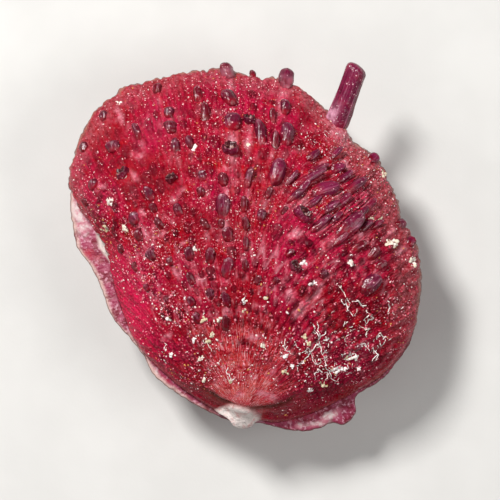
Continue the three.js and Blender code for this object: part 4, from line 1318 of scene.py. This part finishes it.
# The colours of the materials, as values from 0 to 255.
COLOURS = dict(
    crimson=(154, 2, 28),
    deep_red=(96, 1, 9),
    rose=(172, 10, 58),
    scarlet=(182, 10, 14),
    pink=(202, 58, 88),
    pale_pink=(228, 152, 166),
    chalk=(228, 214, 208),
    maroon=(66, 3, 16),
    purple=(102, 14, 50),
    painted_shade_brown=(84, 30, 16),
    # Painted shadow: the dark line in the groove behind the beak and along the lower valve's edge.
    rim_pink=(186, 98, 106),
    fringe=(150, 108, 90),
    flank_red=(208, 22, 74),
    bud_red=(92, 6, 24),
    umbo_red=(176, 10, 22),
    umbo_rose=(200, 46, 56),
    umbo_salmon=(222, 92, 82),
    umbo_pale=(238, 178, 182),
    umbo_dark=(158, 6, 24),
    # Pale specks: partly grains on the shell and partly painted glints.
    shell_speck_and_glint=(232, 170, 176),
    knob_pink=(214, 160, 156),
    inner_cream=(232, 214, 206),
    spine_red=(102, 4, 24),
    spine_deep=(92, 3, 18),
    # Painted highlight on the upper side of the spines.
    painted_highlight_mauve=(138, 38, 78),
    furrow_pale=(182, 104, 132),
    furrow_dark=(60, 3, 16),
    foot_red=(136, 4, 24),
    foot_pale=(218, 160, 182),
    # Paler spine tips: partly wear and partly a painted highlight.
    worn_tip_and_highlight=(176, 104, 124),
    # Pale specks on the spines: partly grains and partly painted glints.
    spine_speck_and_glint=(222, 170, 176),
    hollow_dark=(62, 8, 18),
    hollow_pale=(150, 92, 86),
    crust_white=(240, 232, 228),
    crust_cream=(206, 190, 154),
    crust_pink=(176, 120, 116),
    grain_pink=(222, 138, 152),
    grain_red=(190, 50, 74),
    grain_white=(240, 222, 218),
    grain_ochre=(200, 140, 66),
    lower_red=(140, 22, 48),
    lower_pink=(172, 62, 88),
    lower_dark=(104, 10, 30),
    lower_cream=(216, 190, 174),
    leaf_pink=(206, 132, 142),
    leaf_brown=(84, 26, 30),
    band_dark=(116, 12, 38),
    band_pink=(150, 50, 80),
    band_pale=(206, 150, 166),
    band_red=(158, 12, 44),
    band_white=(212, 190, 188),
    band_worn=(190, 118, 130),
    lip_cream=(204, 176, 164),
    scar_sand=(176, 160, 132),
    scar_brown=(120, 96, 74),
    inner_white=(236, 222, 214),
    paper_grey=(200, 198, 194),
    paper_light=(206, 204, 200),
)


class Nodes:
    """Short ways to add and join the nodes of one material."""

    def __init__(self, name):
        self.material = bpy.data.materials.new(name)
        self.material.use_nodes = True
        self.tree = self.material.node_tree
        self.shader = self.tree.nodes["Principled BSDF"]

    def put(self, socket, value):
        """Gives a socket another node's output, a number or a named colour."""
        if isinstance(value, bpy.types.NodeSocket):
            self.tree.links.new(value, socket)
        elif isinstance(value, str):
            socket.default_value = srgb(*COLOURS[value])
        else:
            socket.default_value = value

    def node(self, kind, **inputs):
        node = self.tree.nodes.new("ShaderNode" + kind)
        for name, value in inputs.items():
            self.put(node.inputs[name], value)
        return node

    def mark(self, name):
        node = self.node("Attribute")
        node.attribute_name = name
        return node.outputs["Fac"]

    def math(self, operation, first, second):
        node = self.node("Math")
        node.operation = operation
        self.put(node.inputs[0], first)
        self.put(node.inputs[1], second)
        return node.outputs[0]

    def times(self, first, second):
        return self.math("MULTIPLY", first, second)

    def less(self, value):
        return self.math("SUBTRACT", 1.0, value)

    def place(self):
        return self.node("TexCoord").outputs["Object"]

    def spread(self, **scales):
        """Places for a texture that is drawn out along the given marks, each at its own scale."""
        node = self.node("CombineXYZ")
        for socket, (name, scale) in zip(node.inputs, scales.items()):
            self.put(socket, self.times(self.mark(name), scale))
        return node.outputs[0]

    def noise(self, scale, detail=4.0, rough=0.55, twist=0.0, place=None):
        place = place or self.place()
        node = self.node(
            "TexNoise", Vector=place, Scale=scale, Detail=detail, Roughness=rough, Distortion=twist,
        )
        return node.outputs["Fac"]

    def cells(self, scale):
        return self.node("TexVoronoi", Vector=self.place(), Scale=scale).outputs["Distance"]

    def ramp(self, value, low, high, low_out=0.0, high_out=1.0):
        node = self.node("MapRange")
        node.interpolation_type = "SMOOTHSTEP"
        keys = ("Value", "From Min", "From Max", "To Min", "To Max")
        for key, number in zip(keys, (value, low, high, low_out, high_out)):
            self.put(node.inputs[key], number)
        return node.outputs["Result"]

    def mix(self, share, first, second):
        node = self.node("Mix")
        node.data_type = "RGBA"
        self.put(node.inputs["Factor"], share)
        self.put(node.inputs[6], first)
        self.put(node.inputs[7], second)
        return node.outputs[2]

    def layered(self, colour, *layers):
        """A colour with others over it, each shown by the product of the shares that follow it."""
        for tint, share, *others in layers:
            for other in others:
                share = self.times(share, other)
            colour = self.mix(share, colour, tint)
        return colour

    def bump(self, height, depth, strength=1.0, under=None):
        """The relief of a texture, to a depth in millimetres, over the relief that is there."""
        node = self.node("Bump", Height=height, Distance=depth * MM, Strength=strength)
        if under is not None:
            self.put(node.inputs["Normal"], under)
        return node.outputs["Normal"]

    def finish(self, colour, roughness, normal, specular):
        self.put(self.shader.inputs["Base Color"], colour)
        self.put(self.shader.inputs["Roughness"], roughness)
        self.put(self.shader.inputs["Normal"], normal)
        self.put(self.shader.inputs["Specular IOR Level"], specular)
        return self.material


def shell_red():
    """The crimson upper valve, with marks from its mesh for ribs, buds, worn places, knob and rim, and with
    painted shade and painted glints.
    """
    nodes = Nodes("crimson_shell")
    mark = nodes.mark
    ramp = nodes.ramp
    broad = nodes.noise(60, 3.0)
    blotch = nodes.noise(170, 4.0, 0.6, 0.4)
    patchy = nodes.noise(420, 3.0, 0.6, 0.3)
    fine = nodes.noise(1000, 3.0, 0.6)
    streaks = nodes.noise(1.0, 3.0, 0.6, 0.0, nodes.spread(label=1.9, reach=0.34))
    hairlines = nodes.noise(1.0, 2.0, 0.6, 0.0, nodes.spread(label=5.5, reach=0.55))
    pebbles = nodes.cells(1300)
    specks_and_glints = nodes.cells(800)
    rough = nodes.times(nodes.less(mark("smooth")), 0.40)
    umbo = nodes.layered(
        "umbo_red",
        ("umbo_rose", ramp(hairlines, 0.42, 0.58)),
        ("umbo_salmon", ramp(blotch, 0.50, 0.64), 0.5),
        ("umbo_pale", ramp(streaks, 0.52, 0.60), 0.9),
        ("umbo_dark", ramp(patchy, 0.52, 0.62), 0.85),
    )
    bud = nodes.mix(ramp(patchy, 0.45, 0.62), "maroon", "bud_red")
    pale = nodes.mix(ramp(patchy, 0.34, 0.60), "pink", "pale_pink")
    knob = nodes.mix(ramp(patchy, 0.48, 0.70), "chalk", "knob_pink")
    colour = nodes.layered(
        "crimson",
        ("rose", ramp(broad, 0.38, 0.62)),
        ("scarlet", ramp(blotch, 0.52, 0.66), 0.60),
        ("flank_red", mark("smooth"), 0.85),
        ("deep_red", ramp(patchy, 0.52, 0.70), rough),
        # Painted shade: fine dark speckles that stand for small shadows in the rough surface.
        ("deep_red", ramp(fine, 0.48, 0.36), rough),
        ("pink", ramp(streaks, 0.56, 0.74), 0.36),
        ("deep_red", ramp(streaks, 0.46, 0.32), 0.60),
        ("pink", ramp(pebbles, 0.36, 0.14), ramp(fine, 0.45, 0.62), 0.22),
        # Painted shade in the valleys between the fine ribs.
        ("deep_red", nodes.less(mark("riblet")), ramp(fine, 0.3, 0.6, 0.4, 1.0), 0.55),
        ("pale_pink", mark("thatch"), ramp(hairlines, 0.54, 0.68), 0.6),
        ("deep_red", mark("flame"), ramp(fine, 0.25, 0.6, 0.95, 0.60)),
        (bud, mark("bud"), 0.94),
        (umbo, mark("umbo"), 0.95),
        ("rim_pink", mark("rim"), ramp(fine, 0.38, 0.62, 0.15, 0.9), 0.85),
        ("deep_red", mark("rim"), ramp(pebbles, 0.38, 0.66, 0.0, 0.45)),
        (pale, mark("pale"), ramp(fine, 0.3, 0.6, 0.40, 1.0), nodes.less(mark("bud")), 0.74),
        # Pale specks: partly grains on the shell and partly painted glints.
        ("shell_speck_and_glint", ramp(specks_and_glints, 0.19, 0.12), ramp(patchy, 0.46, 0.60), 0.85),
        ("fringe", mark("fringe"), ramp(fine, 0.4, 0.6, 0.35, 0.9)),
        # Painted shadow in the groove along the step behind the beak.
        ("painted_shade_brown", mark("groove"), 0.85),
        (knob, mark("knob")),
        # Painted shade: the lower right is darkened, on the side turned away from the key light.
        ("deep_red", mark("dim"), 0.15),
        ("inner_cream", mark("under")),
    )
    grain = nodes.bump(fine, 0.22)
    pits = nodes.bump(pebbles, 0.34, 0.9, grain)
    lines = nodes.bump(hairlines, 0.26, 0.7, pits)
    return nodes.finish(colour, ramp(fine, 0.3, 0.7, 0.07, 0.24), lines, 0.12)


def spine_dark():
    """Maroon to purple spines, furrowed along their length, with red feet, worn tips that also carry a
    painted highlight, and a painted highlight on their upper side.
    """
    nodes = Nodes("dark_spine")
    mark = nodes.mark
    ramp = nodes.ramp
    fine = nodes.noise(1000, 3.0, 0.6)
    broad = nodes.noise(300, 3.0)
    specks_and_glints = nodes.cells(800)
    furrows = nodes.noise(1.0, 3.0, 0.6, 0.0, nodes.spread(girth=2.6, way=1.3, number=7.3))
    way = mark("way")
    shade = mark("shade")
    foot = nodes.mix(ramp(broad, 0.4, 0.6), "deep_red", "foot_red")
    hollow = nodes.mix(ramp(fine, 0.54, 0.64), "hollow_dark", "hollow_pale")
    colour = nodes.layered(
        "maroon",
        ("purple", shade),
        ("spine_red", ramp(broad, 0.46, 0.64)),
        ("spine_deep", ramp(shade, 0.30, 0.10)),
        # Painted highlight: a lighter mauve on the upper side of the spines.
        ("painted_highlight_mauve", mark("face_up"), ramp(broad, 0.36, 0.60, 0.1, 0.7), shade, 0.8),
        ("furrow_pale", ramp(furrows, 0.56, 0.70), 0.55),
        ("furrow_dark", ramp(furrows, 0.44, 0.32), 0.60),
        (foot, ramp(way, 0.46, 0.04), ramp(fine, 0.3, 0.6, 1.0, 0.6)),
        # Paler tips: partly wear and partly a painted highlight.
        ("worn_tip_and_highlight", ramp(way, 0.70, 1.0), ramp(fine, 0.48, 0.62), 0.5),
        ("foot_pale", mark("pale_foot"), ramp(broad, 0.40, 0.58, 0.25, 1.0), ramp(way, 0.62, 0.30)),
        # Pale specks: partly grains on the spines and partly painted glints.
        ("spine_speck_and_glint", ramp(specks_and_glints, 0.20, 0.12), ramp(fine, 0.40, 0.56), 0.8),
        (hollow, mark("wear")),
    )
    relief = nodes.bump(broad, 0.6, 0.6, nodes.bump(fine, 0.28))
    return nodes.finish(colour, ramp(fine, 0.3, 0.7, 0.08, 0.26), relief, 0.40)


def crust_white():
    """White to cream crusts and worm tubes."""
    nodes = Nodes("white_crust")
    ramp = nodes.ramp
    fine = nodes.noise(1400, 3.0, 0.6)
    colour = nodes.layered(
        "crust_white",
        ("crust_cream", ramp(nodes.mark("tone"), 0.25, 0.85)),
        ("crust_pink", ramp(fine, 0.55, 0.72)),
    )
    return nodes.finish(colour, ramp(fine, 0.3, 0.7, 0.5, 0.8), nodes.bump(fine, 0.15), 0.35)


def grain_pale():
    """Grains from rose to white, and a few in ochre."""
    nodes = Nodes("pale_grains")
    ramp = nodes.ramp
    fine = nodes.noise(900, 2.0)
    tone = nodes.mark("tone")
    colour = nodes.layered(
        "grain_pink",
        ("grain_red", ramp(tone, 0.05, 0.45)),
        ("grain_white", ramp(tone, 0.77, 0.79)),
        ("grain_ochre", ramp(tone, 0.95, 0.96)),
    )
    return nodes.finish(colour, ramp(fine, 0.3, 0.7, 0.3, 0.6), nodes.bump(fine, 0.1), 0.5)


def shell_pink():
    """The lower valve: a pink and white lip, a leafy red flank that pales downwards, a worn scar, and a
    painted shadow line along the edge.
    """
    nodes = Nodes("pink_shell")
    mark = nodes.mark
    ramp = nodes.ramp
    fine = nodes.noise(1000, 3.0, 0.6)
    patchy = nodes.noise(420, 4.0, 0.65, 0.3)
    broad = nodes.noise(90, 4.0, 0.6)
    band = nodes.layered(
        "band_dark",
        ("band_pink", ramp(patchy, 0.38, 0.56)),
        ("band_pale", ramp(fine, 0.52, 0.64), 0.7),
        ("band_red", ramp(broad, 0.54, 0.66)),
        (nodes.mix(ramp(patchy, 0.42, 0.60), "band_white", "band_worn"), mark("white")),
        ("lip_cream", mark("lip"), ramp(patchy, 0.35, 0.55, 0.15, 0.85)),
    )
    scar = nodes.layered(
        "chalk",
        ("scar_sand", ramp(broad, 0.4, 0.6)),
        ("scar_brown", ramp(patchy, 0.55, 0.68)),
    )
    colour = nodes.layered(
        "lower_red",
        ("lower_pink", ramp(broad, 0.4, 0.62)),
        ("lower_dark", mark("ridge"), ramp(patchy, 0.4, 0.6, 0.1, 0.7)),
        ("lower_cream", ramp(mark("climb"), 0.62, 0.12), ramp(broad, 0.3, 0.6, 0.45, 1.0)),
        ("leaf_pink", ramp(mark("leaf"), 0.55, 0.95), ramp(patchy, 0.42, 0.6, 0.2, 0.85)),
        ("leaf_brown", mark("drop"), 0.55),
        (band, mark("band")),
        # Painted shadow: a dark line along the lower valve's outer edge, where its underside turns away.
        ("painted_shade_brown", mark("edge"), 0.85),
        (scar, mark("scar")),
        ("inner_white", mark("inside")),
    )
    relief = nodes.bump(patchy, 0.3, 0.6, nodes.bump(fine, 0.24))
    return nodes.finish(colour, ramp(fine, 0.3, 0.7, 0.36, 0.65), relief, 0.4)


def floor_paper():
    """Plain pale paper."""
    nodes = Nodes("floor_paper")
    colour = nodes.mix(nodes.ramp(nodes.noise(30, 3.0), 0.3, 0.7), "paper_grey", "paper_light")
    return nodes.finish(colour, 0.85, nodes.bump(nodes.noise(900), 0.03), 0.2)


# Half the floor's side in metres, and how far it lies below the part in millimetres.
FLOOR_HALF = 1.5
FLOOR_DROP = 0.3


def make_floor():
    """A pale level sheet, a hair below the part so that the two don't share a plane."""
    corners = [(-FLOOR_HALF, -FLOOR_HALF, 0), (FLOOR_HALF, -FLOOR_HALF, 0)]
    corners += [(FLOOR_HALF, FLOOR_HALF, 0), (-FLOOR_HALF, FLOOR_HALF, 0)]
    mesh = bpy.data.meshes.new("floor")
    mesh.from_pydata(corners, [], [(0, 1, 2, 3)])
    floor = bpy.data.objects.new("floor", mesh)
    floor.location.z = -FLOOR_DROP * MM
    bpy.context.scene.collection.objects.link(floor)
    floor.data.materials.append(floor_paper())
    floor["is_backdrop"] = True


# Soft studio lights: place in metres, width in metres and power in watts. All point at the shell's middle.
LIGHTS = dict(
    key=((-0.30, 0.38, 0.66), 0.18, 8.6),
    fill=((-0.45, -0.30, 0.50), 0.50, 1.1),
    back=((0.50, -0.10, 0.50), 0.40, 2.3),
)
LIGHT_TARGET = (0, 0, 0.02)
SKY_COLOUR = (0.9, 0.92, 1.0, 1)
SKY_STRENGTH = 0.10


def make_lights():
    """The three lights and a dim, slightly blue surround."""
    for name, (place, width, power) in LIGHTS.items():
        data = bpy.data.lights.new(name, "AREA")
        data.size = width
        data.energy = power
        light = bpy.data.objects.new(name, data)
        light.location = place
        aim = np.array(LIGHT_TARGET) - np.array(place)
        tilt = math.atan2(math.hypot(aim[0], aim[1]), -aim[2])
        light.rotation_euler = (tilt, 0, math.atan2(aim[1], aim[0]) - math.pi / 2)
        bpy.context.scene.collection.objects.link(light)
    world = bpy.data.worlds.new("studio")
    world.use_nodes = True
    sky = world.node_tree.nodes["Background"]
    sky.inputs["Color"].default_value = SKY_COLOUR
    sky.inputs["Strength"].default_value = SKY_STRENGTH
    bpy.context.scene.world = world


# The photo's view: pixels on a side, millimetres to a pixel, and the pixel over the frame's origin.
VIEW_PIXELS = 500
PIXEL = 0.27
ORIGIN_PIXEL = (244.5, 247.25)
LENS = 200
SENSOR = 36


def make_camera():
    """Straight down, with the beak at the bottom."""
    data = bpy.data.cameras.new("camera")
    data.lens = LENS
    data.sensor_width = SENSOR
    camera = bpy.data.objects.new("camera", data)
    across = (VIEW_PIXELS / 2 - ORIGIN_PIXEL[0]) * PIXEL
    along = (ORIGIN_PIXEL[1] - VIEW_PIXELS / 2) * PIXEL
    distance = VIEW_PIXELS * PIXEL * LENS / SENSOR
    camera.location = (across * MM, along * MM, (SEAM_HEIGHT + distance) * MM)
    bpy.context.scene.collection.objects.link(camera)
    bpy.context.scene.camera = camera


make_camera()
make_lights()
make_floor()

upper = upper_valve()
lower = lower_valve()
upper_field = upper_spines()
long_edge_spine(upper_field)
dark = spine_dark()
white = crust_white()
pieces = [
    (upper, shell_red(), "crimson_shell"),
    (lower, shell_pink(), "pink_shell"),
    (upper_field.build("upper_valve_spines"), dark, "crimson_shell"),
    (lower_spines().build("lower_valve_spines"), dark, "pink_shell"),
    (grains().build("shell_grains"), grain_pale(), "crimson_shell"),
    (worm_tubes().build("worm_tubes"), white, "pink_shell"),
    (crusts().build("white_crusts"), white, "pink_shell"),
]
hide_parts("upper_valve")
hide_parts("lower_valve")
for piece, material, finish in pieces:
    piece.data.materials.append(material)
    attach(piece, "root")

bpy.context.scene.view_settings.view_transform = "Standard"

size = dict(cad=[list(map(float, corner)) for corner in cad_bounds])
visual_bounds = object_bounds()
size["visual"] = [list(map(float, corner)) for corner in visual_bounds]
